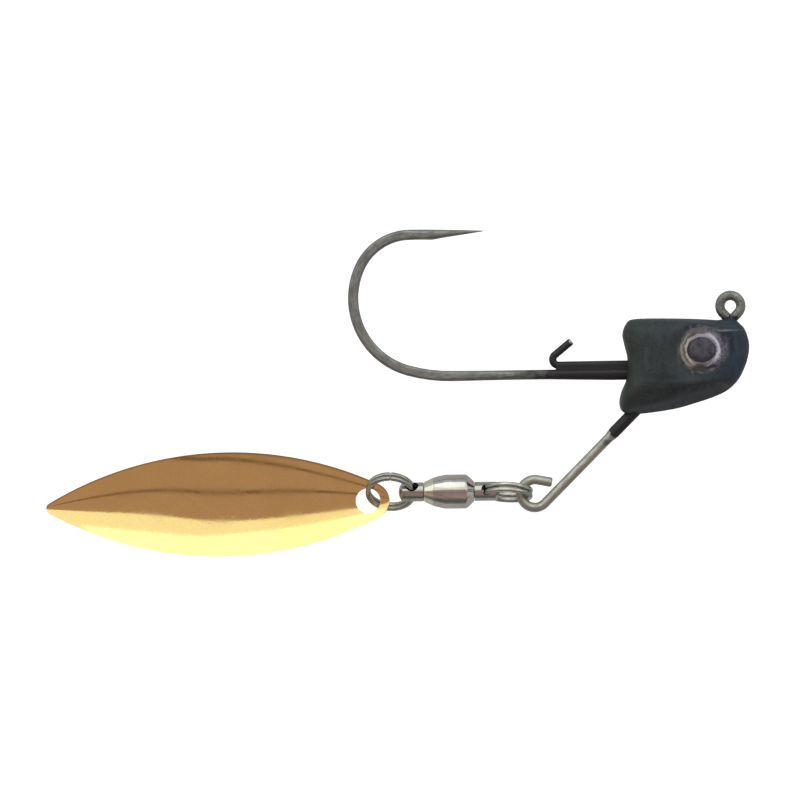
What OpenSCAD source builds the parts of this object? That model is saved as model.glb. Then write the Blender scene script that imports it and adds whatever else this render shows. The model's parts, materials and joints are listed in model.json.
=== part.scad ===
// Underspin jig: a painted fish-head jig on its hook, with a wire arm that carries a swivel and a blade.
// The lure lies on its side: +X towards the nose, +Y towards the hook point, +Z up from the table.
// The origin is the middle of the line-tie hole.

/* [Hook] */
// Diameter of the hook wire
hook_wire_d = 1.15; // [0.95:0.05:1.3]
// Diameter of the wire round the line tie
eye_wire_d = 1.2; // [1.0:0.05:1.35]
// Diameter of the line-tie hole
line_hole_d = 1.4; // [1.2:0.05:1.7]
// Depth of the smooth land worn into the eye's wire
line_land = 0.05; // [0.03:0.01:0.08]
// Drop from the line tie to the shank where it turns to the rear
shank_drop = 7.9; // [7:0.1:8.4]
// Radius of the bend between the neck and the shank
neck_bend_r = 3; // [2:0.1:3.4]
// Length of the straight shank
shank_len = 30.4; // [25:0.1:37]
// Fall of the shank towards its bend, in degrees
shank_tilt = 1; // [0:0.1:2]
// Radius of the opening stretch of the bend
opening_r = 19; // [15:0.5:24]
// Turn of the opening stretch, in degrees
opening_turn = 16; // [10:0.5:22]
// Radius of the round stretch of the bend
round_r = 9; // [7:0.1:11]
// Turn of the round stretch, in degrees
round_turn = 98.5; // [85:0.5:110]
// Radius of the closing stretch of the bend
closing_r = 6.7; // [5:0.1:9]
// Rise of the spear behind the point, in degrees
point_lift = 1; // [0:0.5:4]
// Length of the straight spear between the bend and the point
spear_len = 2.6; // [1:0.1:5]
// Length of the tapered point
point_len = 6.3; // [5:0.1:9]
// Upward cant of the tapered point, in degrees
point_cant = 3; // [0:0.5:5]
// Diameter of the needle tip
point_tip_d = 0.12; // [0.08:0.01:0.2]

/* [Bait keeper] */
// Diameter of the keeper wire
keeper_wire_d = 0.9; // [0.6:0.05:1.1]
// Distance from the line tie back to the keeper's barb
keeper_reach = 20.6; // [17:0.1:24]
// Length of the keeper cast into the head
keeper_root = 5; // [3:0.1:7]
// Radius of the keeper's turn
keeper_turn_r = 0.7; // [0.6:0.05:1]
// Slope of the barb above the shank, in degrees
barb_slope = 40; // [25:1:60]
// Length of the straight barb
barb_len = 2.6; // [1.5:0.1:3.5]

/* [Head] */
// Half width of the head at its widest
head_half_w = 3.9; // [3.6:0.1:4.6]
// Where the head is widest, behind the line tie
head_widest = 8.5; // [7:0.5:11]
// Share of its width that the head loses towards the nose
nose_taper = 0.3; // [0.1:0.02:0.4]
// Squareness of the head's cross section, where 2 is an ellipse
head_square = 3.4; // [2.4:0.1:5]

/* [Eyes] */
// Distance of the eye behind the line tie
eye_back = 3.5; // [3:0.1:5]
// Distance of the eye below the line tie
eye_drop = 5.3; // [4.8:0.1:6.5]
// Diameter of the eye
eye_d = 5.5; // [3.6:0.1:5.6]
// Diameter of the pupil
pupil_d = 3.2; // [1.6:0.1:3.4]
// Half distance between the two eye seats
eye_seat_z = 3.05; // [2.8:0.05:3.2]
// Thickness of the eye's foil
foil_t = 0.15; // [0.1:0.01:0.25]
// Thickness of the printed pupil
pupil_t = 0.06; // [0.04:0.01:0.12]
// Height of the clear dome over the foil
dome_h = 0.7; // [0.4:0.05:1]

/* [Spinner arm] */
// Diameter of the arm wire
arm_wire_d = 1.15; // [0.9:0.05:1.3]
// Clear metal between the shank and the arm's root
arm_gap = 0.45; // [0.3:0.05:0.8]
// Distance behind the line tie at which the arm turns down
arm_back = 8.5; // [7.5:0.1:10]
// Length of the arm's root along the shank
arm_root = 4.5; // [2.5:0.1:6]
// Radius of the turn in the head
arm_bend_r = 1.5; // [1:0.1:3]
// Slope of the arm below the shank, in degrees
arm_slope = 45.7; // [35:0.5:60]
// Length of the arm from its turn to its loop
arm_len = 19.7; // [16:0.1:25]
// Diameter of the hole in the arm's loop
loop_hole_d = 2.2; // [2:0.05:3]
// Length of the loop's straight tail
loop_tail = 1.8; // [0.8:0.1:2]
// Fall of the loop's tail, in degrees
loop_tail_fall = 10; // [0:1:20]

/* [Split rings] */
// Outer diameter of a split ring
ring_od = 6; // [5:0.1:8]
// Width of the flattened ring wire, across the ring
ring_wire_w = 0.55; // [0.4:0.01:0.66]
// Thickness of one turn of the ring wire
ring_wire_t = 0.5; // [0.4:0.01:0.6]
// Gap between the two turns
ring_turn_gap = 0.04; // [0.03:0.01:0.08]
// Stretch in which the wire climbs from one turn to the other, in degrees
ring_climb = 26; // [18:1:34]
// Slope of the front ring down to the arm, in degrees
front_ring_slope = 3; // [0:0.5:8]
// Roll of the front ring and of the hole it passes, in degrees
front_roll = 14; // [0:1:30]
// Roll of the rear stem's hole, in degrees
rear_roll = 42; // [30:1:60]
// Swing of the rear ring in the stem's hole, in degrees
rear_ring_swing = -2; // [-10:0.5:20]

/* [Swivel] */
// Diameter of a stem outside the barrel
stem_d = 2.3; // [2.2:0.05:2.8]
// Diameter of the cross hole in a stem
stem_hole_d = 1.7; // [1.6:0.02:1.84]
// Metal between the cross hole and the stem's end
stem_end_wall = 0.6; // [0.4:0.05:1]
// Metal between the cross hole and the stem's shoulder
stem_root_wall = 0.55; // [0.3:0.05:1]
// Diameter of a stem's neck inside the barrel
neck_d = 1.24; // [1:0.02:1.4]
// Diameter of the flange that the balls bear on
flange_d = 2.8; // [2.4:0.05:3]
// Thickness of the flange
flange_t = 0.5; // [0.3:0.05:0.8]
// Length of the barrel with its end collar
barrel_len = 6; // [5.4:0.1:8]
// Outer diameter of the barrel
barrel_d = 4.1; // [4:0.05:5]
// Diameter of the barrel's ends
barrel_end_d = 2.4; // [2.2:0.05:2.8]
// Length of the barrel's front chamfer
chamfer_len = 0.9; // [0.5:0.05:1.2]
// Length of the end collar outside its seam
collar_len = 1.2; // [1:0.05:1.3]
// Diameter of the end collar at its seam
collar_seam_d = 3.5; // [3.4:0.02:3.8]
// Length of the shoulder behind the seam
shoulder_len = 1.3; // [0.8:0.1:1.6]
// Bore of the barrel
barrel_bore_d = 3.12; // [3.06:0.02:3.2]
// Diameter of a bearing ball
ball_d = 0.7; // [0.5:0.01:0.72]
// Balls in each row
ball_count = 8; // [5:1:8]

/* [Blade] */
// Width of the blade
blade_w = 12.5; // [9:0.1:15]
// Radius of the blade's two long edges
blade_edge_r = 42.5; // [34:0.5:50]
// Radius of the round end
blade_end_r = 2.2; // [2:0.05:3]
// Radius of the tip
blade_tip_r = 0.7; // [0.5:0.05:1.4]
// Thickness of the blade's sheet
blade_t = 0.5; // [0.35:0.05:0.7]
// Radius of the blade's cup across its width
cup_r = 15; // [12:0.5:25]
// Radius of the blade's cup along its length
cup_long_r = 130; // [100:5:200]
// Diameter of the hole for the ring
blade_hole_d = 3; // [2.6:0.05:3.2]
// Distance of the hole from the middle of the round end
blade_hole_inset = 0.4; // [0:0.05:0.8]
// Place of the blade on the ring, in degrees from the ring's far end
blade_ride = 28; // [10:1:32]
// Distance of the blade's hole below the ring wire
blade_drop = 0.3; // [0:0.05:0.35]
// Fall of the blade towards its tip, in degrees
blade_fall = 0.8; // [0:0.1:4]
// Droop of the whole chain towards the table, in degrees
chain_droop = 2.5; // [0:0.5:8]

/* [Fits] */
// Film of paint between the keeper and the shank
keeper_gap = 0.05; // [0.02:0.01:0.15]
// Room round the wires and eyes that are set in the head
cast_gap = 0.02; // [0.01:0.01:0.05]
// Room between a ring and the edge of the loop or hole it hangs in
ring_run_gap = 0.09; // [0.05:0.01:0.15]
// Room between the rear ring and the edge of the blade's hole
blade_run_gap = 0.22; // [0.15:0.01:0.3]
// Radial room of a neck in the barrel
neck_gap = 0.05; // [0.02:0.01:0.1]
// Room between a stem's shoulder and the barrel
shoulder_gap = 0.06; // [0.03:0.01:0.15]
// Room on each side of a ball
ball_gap = 0.03; // [0.02:0.01:0.05]
// Room of the end collar in the barrel
collar_gap = 0.02; // [0.01:0.01:0.04]

/* [Hidden] */
$fn = 64;

// Side view of the head, clockwise from the upper corner behind
head_outline = [
    [-12.95, -3.4], [-12.55, -2.2], [-11.6, -1.6], [-8, -1.5], [-3.3, -1.6], [0, -1.9], [1.45, -2.45],
    [2.1, -3.8], [2.25, -5.2], [1.9, -6.9], [1, -8.8], [-0.3, -10.1], [-1.9, -10.9], [-4.1, -11.65],
    [-6.8, -12.4], [-10.7, -12.95], [-12.7, -12.85], [-13.3, -11.9], [-13.1, -10.4], [-12.45, -8.7],
    [-12.35, -6.4], [-12.75, -4.6]];
head_core = [-5.6, -6.9];
outline_steps = 3;
layer_angles = [for (a = [-80 : 10 : 80]) a];

// Where the nose ends, and where the shank leaves the head
head_nose_x = max([for (p = head_outline) p[0]]);
head_rear_x = -12.4;

// Hook and keeper
eye_r = line_hole_d / 2 - line_land + eye_wire_d / 2;
neck_turn = 90 - shank_tilt;
neck_len = shank_drop - eye_r - neck_bend_r * sin(neck_turn);
closing_turn = 180 + shank_tilt - opening_turn - round_turn - point_lift;
keeper_lift = (hook_wire_d + keeper_wire_d) / 2 + keeper_gap;
keeper_end_x = head_rear_x + keeper_root;
keeper_run = keeper_reach + keeper_end_x;
function shank_y(x) = -shank_drop + (x + neck_bend_r * (1 - cos(neck_turn))) * tan(shank_tilt);

// Swell over a change of curve in a wire, and where the next stretch starts inside it
swell = 1.03;
swell_lead = 0.05;

// Height of the dome's upright rim
dome_rim = 0.2;

// Spinner arm and its loop
arm_leg_y = shank_y(-arm_back) - hook_wire_d / 2 - arm_gap - arm_wire_d / 2;
arm_trim = arm_bend_r * tan(arm_slope / 2);
arm_heading = 180 + arm_slope;
loop_r = (loop_hole_d + arm_wire_d) / 2;
loop_turn = arm_heading + loop_tail_fall;
loop_c = [-arm_back, arm_leg_y, 0] + arm_len * heading(arm_heading) + loop_r * heading(arm_heading - 90);

// Split rings, and how far each sinks into the loop or hole that it passes
ring_ro = ring_od / 2;
ring_ri = ring_ro - ring_wire_w;
ring_rm = (ring_ro + ring_ri) / 2;
ring_t = 2 * ring_wire_t + ring_turn_gap;
front_climb_at = -95;
rear_climb_at = 100;
function bow(r, half) = r - sqrt(r * r - half * half);
function chord(r, half) = sqrt(r * r - half * half);
front_dir = heading(-front_ring_slope);
front_axis = [-sin(front_ring_slope) * cos(front_roll), -cos(front_ring_slope) * cos(front_roll),
              sin(front_roll)];
loop_sink = chord(loop_hole_d / 2 - ring_run_gap, ring_t / 2) - ring_wire_w / 2
            - bow(ring_ri, arm_wire_d / 2);
front_ring_c = loop_c - (loop_sink + ring_rm) * front_dir;
hole_throw = (ring_ro + ring_ri - bow(ring_ri, stem_d / 2)) / 2;
front_hole = front_ring_c - hole_throw * front_dir;

// Swivel, measured rearwards from the middle of the front stem's hole
stem_reach = stem_hole_d / 2 + stem_end_wall;
stem_root = stem_hole_d / 2 + stem_root_wall;
barrel_z = stem_root + shoulder_gap;
swivel_len = 2 * barrel_z + barrel_len;
neck_bore_r = neck_d / 2 + neck_gap;
ball_pitch_r = neck_d / 2 + ball_gap + ball_d / 2;
race_depth = 0.7;
ball_depth = race_depth + ball_pitch_r - neck_bore_r + sqrt(2) * (ball_d / 2 + ball_gap);
flange_depth = ball_depth + ball_d / 2 + ball_gap;
bore_depth = race_depth + barrel_bore_d / 2 - neck_bore_r;
spigot_r = barrel_bore_d / 2 - collar_gap;
spigot_edge = 0.12;
spigot_depth = race_depth + spigot_r - spigot_edge - neck_bore_r;

// Blade, measured from the middle of its lens-shaped outline
edge_offset = blade_edge_r - blade_w / 2;
function end_place(r) = sqrt(pow(blade_edge_r - r, 2) - pow(edge_offset, 2));
end_x = end_place(blade_end_r);
tip_x = end_place(blade_tip_r);
hole_x = end_x - blade_hole_inset;
hole_z = bow(cup_long_r, hole_x) + blade_t / 2;
edge_steps = 20;
round_steps = 8;

// Rear ring: where it points, and where the blade hangs on it
rear_hole = front_hole - [swivel_len, 0, 0];
rear_axis = [0, sin(rear_roll), cos(rear_roll)];
rear_dir = [-cos(rear_ring_swing), -sin(rear_ring_swing) * cos(rear_roll),
            sin(rear_ring_swing) * sin(rear_roll)];
rear_normal = cross(rear_dir, rear_axis);
ride_out = cos(blade_ride) * rear_dir - sin(blade_ride) * rear_axis;
ride_along = sin(blade_ride) * rear_dir + cos(blade_ride) * rear_axis;

// Corners of the ring's section on the two faces of the blade, and the room that they leave in its hole
ring_cut = [for (a = [-1, 1], b = [-1, 1], face = [-1, 1])
            let (p = (a * ring_wire_w * ride_out + b * ring_t * rear_normal) / 2)
            p + (face * blade_t / 2 - p[2]) / ride_along[2] * ride_along];
hole_room = blade_hole_d / 2 - blade_run_gap;
blade_sink = min([for (c = ring_cut) chord(hole_room, c[1] + blade_drop) - c[0]]);
blade_hole = rear_hole + hole_throw * rear_dir + ring_rm * ride_out - [blade_sink, blade_drop, 0];

function heading(a) = [cos(a), sin(a), 0];

// A slight swell over a change of curve, with its poles along the wire.
module wire_swell(d) {
    rotate([0, 90, 0])
        sphere(d = d * swell);
}

// One length of round wire in the XY plane: each step is a straight [length] or a bend [radius, turn].
// A slight swell, a few hundredths wide, lies over each change of curve.
module wire_run(d, steps, i = 0) {
    if (i < len(steps)) {
        step = steps[i];
        lead = i > 0 ? swell_lead : 0;
        if (i > 0)
            wire_swell(d);
        if (len(step) == 1) {
            translate([lead, 0, 0])
                rotate([0, 90, 0])
                    cylinder(d = d, h = step[0] - lead);
            translate([step[0], 0, 0])
                wire_run(d, steps, i + 1);
        } else {
            side = sign(step[1]);
            lead_turn = lead / step[0] * 180 / PI;
            translate([0, side * step[0], 0]) {
                mirror([0, side < 0 ? 1 : 0, 0])
                    rotate([0, 0, lead_turn - 90])
                        rotate_extrude(angle = abs(step[1]) - lead_turn)
                            translate([step[0], 0])
                                circle(d = d);
                rotate([0, 0, step[1]])
                    translate([0, -side * step[0], 0])
                        wire_run(d, steps, i + 1);
            }
        }
    }
}

// Hook wire from the eye to the end of the shank, and then round the bend to the point.
module hook_wire(d, whole) {
    bend = [[opening_r, -opening_turn], [round_r, -round_turn], [closing_r, -closing_turn], [spear_len]];
    root = [[neck_len], [neck_bend_r, -neck_turn], [shank_len]];
    translate([0, -eye_r, 0])
        rotate([0, 0, -90])
            wire_run(d, whole ? concat(root, bend) : root);
}

// Keeper wire from its cast end to the barb's turn, and then the barb.
module keeper_wire(d, whole) {
    turn = 180 + shank_tilt - barb_slope;
    barb = [[keeper_turn_r, -turn], [barb_len]];
    translate([keeper_end_x, shank_y(keeper_end_x) + keeper_lift, 0])
        rotate([0, 0, 180 + shank_tilt])
            wire_run(d, whole ? concat([[keeper_run]], barb) : [[keeper_run]]);
}

// Arm wire from its root to the loop, and then the loop and its tail.
module arm_wire(d, whole) {
    root = [[arm_root - arm_trim], [arm_bend_r, arm_slope], [arm_len - arm_trim]];
    loop = [[loop_r, -loop_turn], [loop_tail]];
    translate([arm_root - arm_back, arm_leg_y, 0])
        rotate([0, 0, 180])
            wire_run(d, whole ? concat(root, loop) : root);
}

// A smooth closed curve through the outline's points.
function spline(p, i, t) =
    let (n = len(p), a = p[(i + n - 1) % n], b = p[i], c = p[(i + 1) % n], d = p[(i + 2) % n])
    0.5 * (2 * b + (c - a) * t + (2 * a - 5 * b + 4 * c - d) * t * t + (3 * b - a - 3 * c + d) * t * t * t);
head_curve = [for (i = [0 : len(head_outline) - 1], s = [0 : outline_steps - 1])
              spline(head_outline, i, s / outline_steps)];

// Half width of the head at a place along it.
function head_width(x) =
    let (s = max(0, (x + head_widest) / (head_nose_x + head_widest)))
    head_half_w * (1 - nose_taper * s * s);
function power(v) = sign(v) * pow(abs(v), 2 / head_square);
function head_point(p, a) =
    let (q = head_core + (p - head_core) * power(cos(a)))
    [q[0], q[1], head_width(q[0]) * power(sin(a))];

// The head is its side view, drawn in towards both sides.
module head_form() {
    n = len(head_curve);
    layers = len(layer_angles);
    poles = [for (s = [-1, 1]) [head_core[0], head_core[1], s * head_width(head_core[0])]];
    points = concat([for (a = layer_angles, p = head_curve) head_point(p, a)], poles);
    sides = [for (k = [0 : layers - 2], i = [0 : n - 1], half = [0, 1])
             let (j = (i + 1) % n, low = k * n, high = low + n)
             half == 0 ? [low + i, low + j, high + i] : [low + j, high + j, high + i]];
    low_cap = [for (i = [0 : n - 1]) [layers * n, (i + 1) % n, i]];
    top = (layers - 1) * n;
    high_cap = [for (i = [0 : n - 1]) [layers * n + 1, top + i, top + (i + 1) % n]];
    polyhedron(points, concat(sides, low_cap, high_cap));
}

// Places what it holds on the seat of the right eye, or of the left one.
module eye_place(right) {
    mirror([0, 0, right ? 0 : 1])
        translate([-eye_back, -eye_drop, eye_seat_z])
            children();
}

module eye_foil() {
    color("lightsteelblue")
        cylinder(d = eye_d, h = foil_t);
}

module eye_pupil() {
    color("black")
        translate([0, 0, foil_t])
            cylinder(d = pupil_d, h = pupil_t);
}

module eye_dome() {
    cap_h = dome_h - dome_rim;
    cap_r = (pow(eye_d / 2, 2) + cap_h * cap_h) / (2 * cap_h);
    color("white", 0.3)
        translate([0, 0, foil_t])
            difference() {
                intersection() {
                    cylinder(d = eye_d, h = 2 * dome_h);
                    translate([0, 0, dome_h - cap_r])
                        sphere(r = cap_r, $fn = 128);
                }
                translate([0, 0, -dome_h])
                    cylinder(d = pupil_d + 2 * cast_gap, h = dome_h + pupil_t + cast_gap);
            }
}

module head_casting() {
    color("darkslategray")
        difference() {
            head_form();
            hook_wire(hook_wire_d + 2 * cast_gap, false);
            keeper_wire(keeper_wire_d + 2 * cast_gap, false);
            arm_wire(arm_wire_d + 2 * cast_gap, false);
            for (right = [true, false])
                eye_place(right)
                    cylinder(d = eye_d + 2 * cast_gap, h = head_half_w);
        }
}

module jig_hook() {
    color("dimgray")
        difference() {
            union() {
                rotate_extrude()
                    translate([eye_r, 0])
                        circle(d = eye_wire_d);
                hook_wire(hook_wire_d, true);
                hook_point();
            }
            cylinder(d = line_hole_d, h = 2 * eye_wire_d, center = true);
        }
}

// Where the bend ends, from the same steps as the wire itself.
function after_bend(p, a, r, turn) =
    [p + r * heading(a - 90) + r * heading(a - turn + 90), a - turn];
bend_start = [-neck_bend_r * (1 - cos(neck_turn)), -shank_drop, 0] + shank_len * heading(180 + shank_tilt);
opening_end = after_bend(bend_start, 180 + shank_tilt, opening_r, opening_turn);
round_end = after_bend(opening_end[0], opening_end[1], round_r, round_turn);
closing_end = after_bend(round_end[0], round_end[1], closing_r, closing_turn);

module hook_point() {
    translate(closing_end[0] + spear_len * heading(point_lift))
        rotate([0, 0, point_lift + point_cant]) {
            wire_swell(hook_wire_d);
            translate([swell_lead, 0, 0])
                rotate([0, 90, 0])
                    cylinder(d1 = hook_wire_d, d2 = point_tip_d, h = point_len);
        }
}

module bait_keeper() {
    color("darkslategray")
        keeper_wire(keeper_wire_d, true);
}

module spinner_arm() {
    color("silver")
        arm_wire(arm_wire_d, true);
}

// Two flat turns about Z and the short climb that joins them.
module split_ring() {
    low = -ring_t / 2;
    high = ring_turn_gap / 2;
    half = ring_climb / 2;
    flat = ring_ri * sin(half);
    color("gainsboro") {
        for (z = [low, high])
            rotate([0, 0, half])
                rotate_extrude(angle = 360 - ring_climb)
                    translate([ring_ri, z])
                        square([ring_wire_w, ring_wire_t]);
        intersection() {
            rotate([0, 0, -half])
                rotate_extrude(angle = ring_climb)
                    translate([ring_ri, low])
                        square([ring_wire_w, ring_t]);
            rotate([90, 0, 90])
                linear_extrude(ring_od)
                    polygon([[-ring_ro, low], [-flat, low], [flat, high], [ring_ro, high],
                             [ring_ro, high + ring_wire_t], [flat, high + ring_wire_t],
                             [-flat, low + ring_wire_t], [-ring_ro, low + ring_wire_t]]);
        }
    }
}

// Turns the chain behind the front ring about that ring's own axis.
module chain() {
    translate(front_ring_c)
        rotate(a = chain_droop, v = front_axis)
            translate(-front_ring_c)
                children();
}

// Z runs rearwards along the swivel, from the middle of the front stem's hole, and X faces up.
module swivel_place() {
    chain()
        translate(front_hole)
            rotate([0, -90, 0])
                children();
}

module rear_end() {
    translate([0, 0, swivel_len])
        mirror([0, 0, 1])
            children();
}

module front_split_ring() {
    translate(front_ring_c)
        rotate([0, 0, -front_ring_slope])
            rotate([90 - front_roll, 0, 0])
                rotate([0, 0, front_climb_at])
                    split_ring();
}

// A drilled stem with its neck and flange, whose hole lies along X.
module stem() {
    color("silver")
        difference() {
            union() {
                intersection() {
                    sphere(r = stem_reach, $fn = 128);
                    cylinder(d = stem_d, h = 2 * stem_reach, center = true);
                }
                cylinder(d = stem_d, h = stem_root);
                cylinder(d = neck_d, h = barrel_z + flange_depth + flange_t);
                translate([0, 0, barrel_z + flange_depth])
                    cylinder(d = flange_d, h = flange_t);
            }
            rotate([0, 90, 0])
                cylinder(d = stem_hole_d, h = 2 * stem_d, center = true);
        }
}

module front_stem() {
    swivel_place()
        rotate([0, 0, front_roll])
            stem();
}

module rear_stem() {
    swivel_place()
        rear_end()
            rotate([0, 0, rear_roll])
                stem();
}

module ball_row() {
    color("white")
        for (i = [0 : ball_count - 1])
            rotate([0, 0, 360 / ball_count * i])
                translate([ball_pitch_r, 0, barrel_z + ball_depth])
                    sphere(d = ball_d);
}

module front_balls() {
    swivel_place()
        ball_row();
}

module rear_balls() {
    swivel_place()
        rear_end()
            ball_row();
}

module swivel_barrel() {
    seam = barrel_len - collar_len;
    color("gainsboro")
        swivel_place()
            translate([0, 0, barrel_z])
                rotate_extrude()
                    polygon([[neck_bore_r, 0], [barrel_end_d / 2, 0], [barrel_d / 2, chamfer_len],
                             [barrel_d / 2, seam - shoulder_len], [collar_seam_d / 2, seam],
                             [barrel_bore_d / 2, seam], [barrel_bore_d / 2, bore_depth],
                             [neck_bore_r, race_depth]]);
}

module barrel_collar() {
    color("lemonchiffon")
        swivel_place()
            rear_end()
                translate([0, 0, barrel_z])
                    rotate_extrude()
                        polygon([[neck_bore_r, 0], [barrel_end_d / 2, 0],
                                 [collar_seam_d / 2, collar_len], [spigot_r, collar_len],
                                 [spigot_r, spigot_depth], [spigot_r - spigot_edge, spigot_depth],
                                 [neck_bore_r, race_depth]]);
}

module rear_split_ring() {
    swivel_place()
        rear_end()
            mirror([0, 0, 1])
                rotate([0, 0, rear_roll])
                    rotate([rear_ring_swing, 0, 0])
                        translate([0, 0, hole_throw])
                            rotate([-90, -90, 0])
                                rotate([0, 0, rear_climb_at])
                                    split_ring();
}

// Outline of the blade: two long arcs drawn into a round end and a tip.
function blade_edge(x) = chord(blade_edge_r, x) - edge_offset;
end_turn = atan2(edge_offset, end_x);
tip_turn = atan2(edge_offset, tip_x);
upper_edge = [for (i = [0 : edge_steps])
              let (from = end_x * blade_edge_r / (blade_edge_r - blade_end_r),
                   to = -tip_x * blade_edge_r / (blade_edge_r - blade_tip_r),
                   x = from + (to - from) * i / edge_steps)
              [x, blade_edge(x)]];
tip_round = [for (i = [1 : round_steps - 1])
             let (a = 180 - tip_turn + 2 * tip_turn * i / round_steps)
             [-tip_x, 0] + blade_tip_r * [cos(a), sin(a)]];
end_round = [for (i = [1 : round_steps - 1])
             let (a = -end_turn + 2 * end_turn * i / round_steps)
             [end_x, 0] + blade_end_r * [cos(a), sin(a)]];
lower_edge = [for (i = [edge_steps : -1 : 0]) [upper_edge[i][0], -upper_edge[i][1]]];

// The blade hollow side up, with its lowest point at the origin and its hole end along +X.
module blade_form() {
    depth = hole_z + blade_w;
    span = 2 * asin((tip_x + blade_tip_r + blade_end_r) / cup_long_r);
    difference() {
        intersection() {
            translate([0, 0, cup_long_r])
                rotate([-90, 0, 0])
                    rotate([0, 0, 90 - span / 2])
                        rotate_extrude(angle = span)
                            translate([cup_long_r - cup_r, 0])
                                difference() {
                                    circle(r = cup_r);
                                    circle(r = cup_r - blade_t);
                                    translate([-2 * cup_r, -cup_r])
                                        square(2 * cup_r);
                                }
            translate([0, 0, -depth])
                linear_extrude(2 * depth)
                    polygon(concat(upper_edge, tip_round, lower_edge, end_round));
        }
        translate([hole_x, 0, 0])
            cylinder(d = blade_hole_d, h = 2 * depth, center = true);
    }
}

module willow_blade() {
    color("goldenrod")
        chain()
            translate(blade_hole)
                rotate([0, 0, blade_fall])
                    translate([-hole_x, 0, -hole_z])
                        blade_form();
}

head_casting();
jig_hook();
bait_keeper();
spinner_arm();
eye_place(true) eye_foil();  // right_eye_foil
eye_place(true) eye_pupil();  // right_eye_pupil
eye_place(true) eye_dome();  // right_eye_dome
eye_place(false) eye_foil();  // left_eye_foil
eye_place(false) eye_pupil();  // left_eye_pupil
eye_place(false) eye_dome();  // left_eye_dome
front_split_ring();
front_stem();
front_balls();
swivel_barrel();
barrel_collar();
rear_balls();
rear_stem();
rear_split_ring();
willow_blade();
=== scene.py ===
"""An underspin jig lying on its side: painted fish head, jig hook, wire arm, swivel and gold willow blade."""

import json
import math

import bmesh
import bpy
from mathutils import Matrix, Vector, noise


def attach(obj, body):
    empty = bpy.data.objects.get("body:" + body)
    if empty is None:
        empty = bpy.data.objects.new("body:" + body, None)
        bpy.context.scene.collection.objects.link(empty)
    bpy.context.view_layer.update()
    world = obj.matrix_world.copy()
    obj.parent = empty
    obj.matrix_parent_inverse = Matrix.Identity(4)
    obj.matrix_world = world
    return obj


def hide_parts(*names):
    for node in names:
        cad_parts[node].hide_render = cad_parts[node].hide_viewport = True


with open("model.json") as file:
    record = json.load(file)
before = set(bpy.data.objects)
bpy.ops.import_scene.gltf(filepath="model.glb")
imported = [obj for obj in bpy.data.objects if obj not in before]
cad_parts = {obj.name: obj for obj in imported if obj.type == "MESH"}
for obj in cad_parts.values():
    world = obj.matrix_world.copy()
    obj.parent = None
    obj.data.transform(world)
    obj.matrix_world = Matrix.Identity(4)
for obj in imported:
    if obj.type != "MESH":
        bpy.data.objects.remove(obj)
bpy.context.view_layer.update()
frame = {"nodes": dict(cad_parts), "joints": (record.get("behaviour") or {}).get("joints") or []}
scene = bpy.context.scene
joints = {joint["name"]: joint for joint in frame["joints"]}

MM = 0.001

# Sizes are in millimetres and turns in degrees. Places are X and Y in the lure's own plane.

# Hook and its line tie
HOOK_WIRE_D = 1.15
TIE_R = 1.25
TIE_TURN = 44
TIE_FREE_STRAND = 0.7
TIE_STRAND = 0.809
TIE_NECK_R = 1.2
TIE_DROP = 2.284
SHANK_DROP = 7.9
SHANK_TILT = 1
NECK_BEND_R = 3
SHANK_LEN = 30.4
HOOK_BEND = [(19, -16), (9, -98.5), (6.7, -65.5)]
SPEAR_LEN = 2.6
POINT_LEN = 6.3
POINT_BEND_R = 10
POINT_CANT = 3
POINT_TAPER = 0.93
POINT_CURVE = 1.15
FORGE_LEAD = 5
FORGE_PAST = 1
FORGE_FADE = 4
FORGE_FLAT = 0.26
FORGE_KNEE = 0.86
FORGE_SPREAD = 0.09
SWELL_AT = 0.2
SWELL_H = 0.06
SWELL_BEHIND = 1.2
SWELL_AHEAD = 0.8
PAINT_BUILD = 0.24
PAINT_BUILD_SPAN = (-24, -13)

# Bait keeper
KEEPER_WIRE_D = 0.9
KEEPER_END = (-7.4, -6.903)
KEEPER_RUN = 13.2
KEEPER_TURN_R = 0.7
BARB_SLOPE = 40
BARB_LEN = 2.6
BARB_TIP = (-18.95, -4.2)
WEB_DROP = 0.22
WEB_HALF_W = 0.43
WEB_PAST = 0.2
WEB_RAMP = 4

# Spinner arm
ARM_WIRE_D = 1.15
ARM_START = (-4, -9.597)
ARM_ROOT = 3.868
ARM_BEND_R = 1.5
ARM_SLOPE = 45.7
ARM_LEN = 19.068
ARM_COAT = 0.25
ARM_COAT_SPAN = (13.2, 12.3)
LOOP_R = 1.675
LOOP_TURN = 235.7
LOOP_TAIL = 1.8

# Split rings
RING_R = 2.725
RING_WIRE_W = 0.55
RING_CORNER = 0.19
FRONT_RING_T = 0.58
REAR_RING_T = 0.54
RING_TURN_GAP = 0.06
RING_CLIMB = 5
RING_LAP = 2.25
RING_END_REACH = 0.1
RING_END_SIZE = 0.86
RING_STEPS = 60
CLIMB_STEPS = 6
FRONT_CLIMB_AT = -119
REAR_CLIMB_AT = 92

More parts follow.
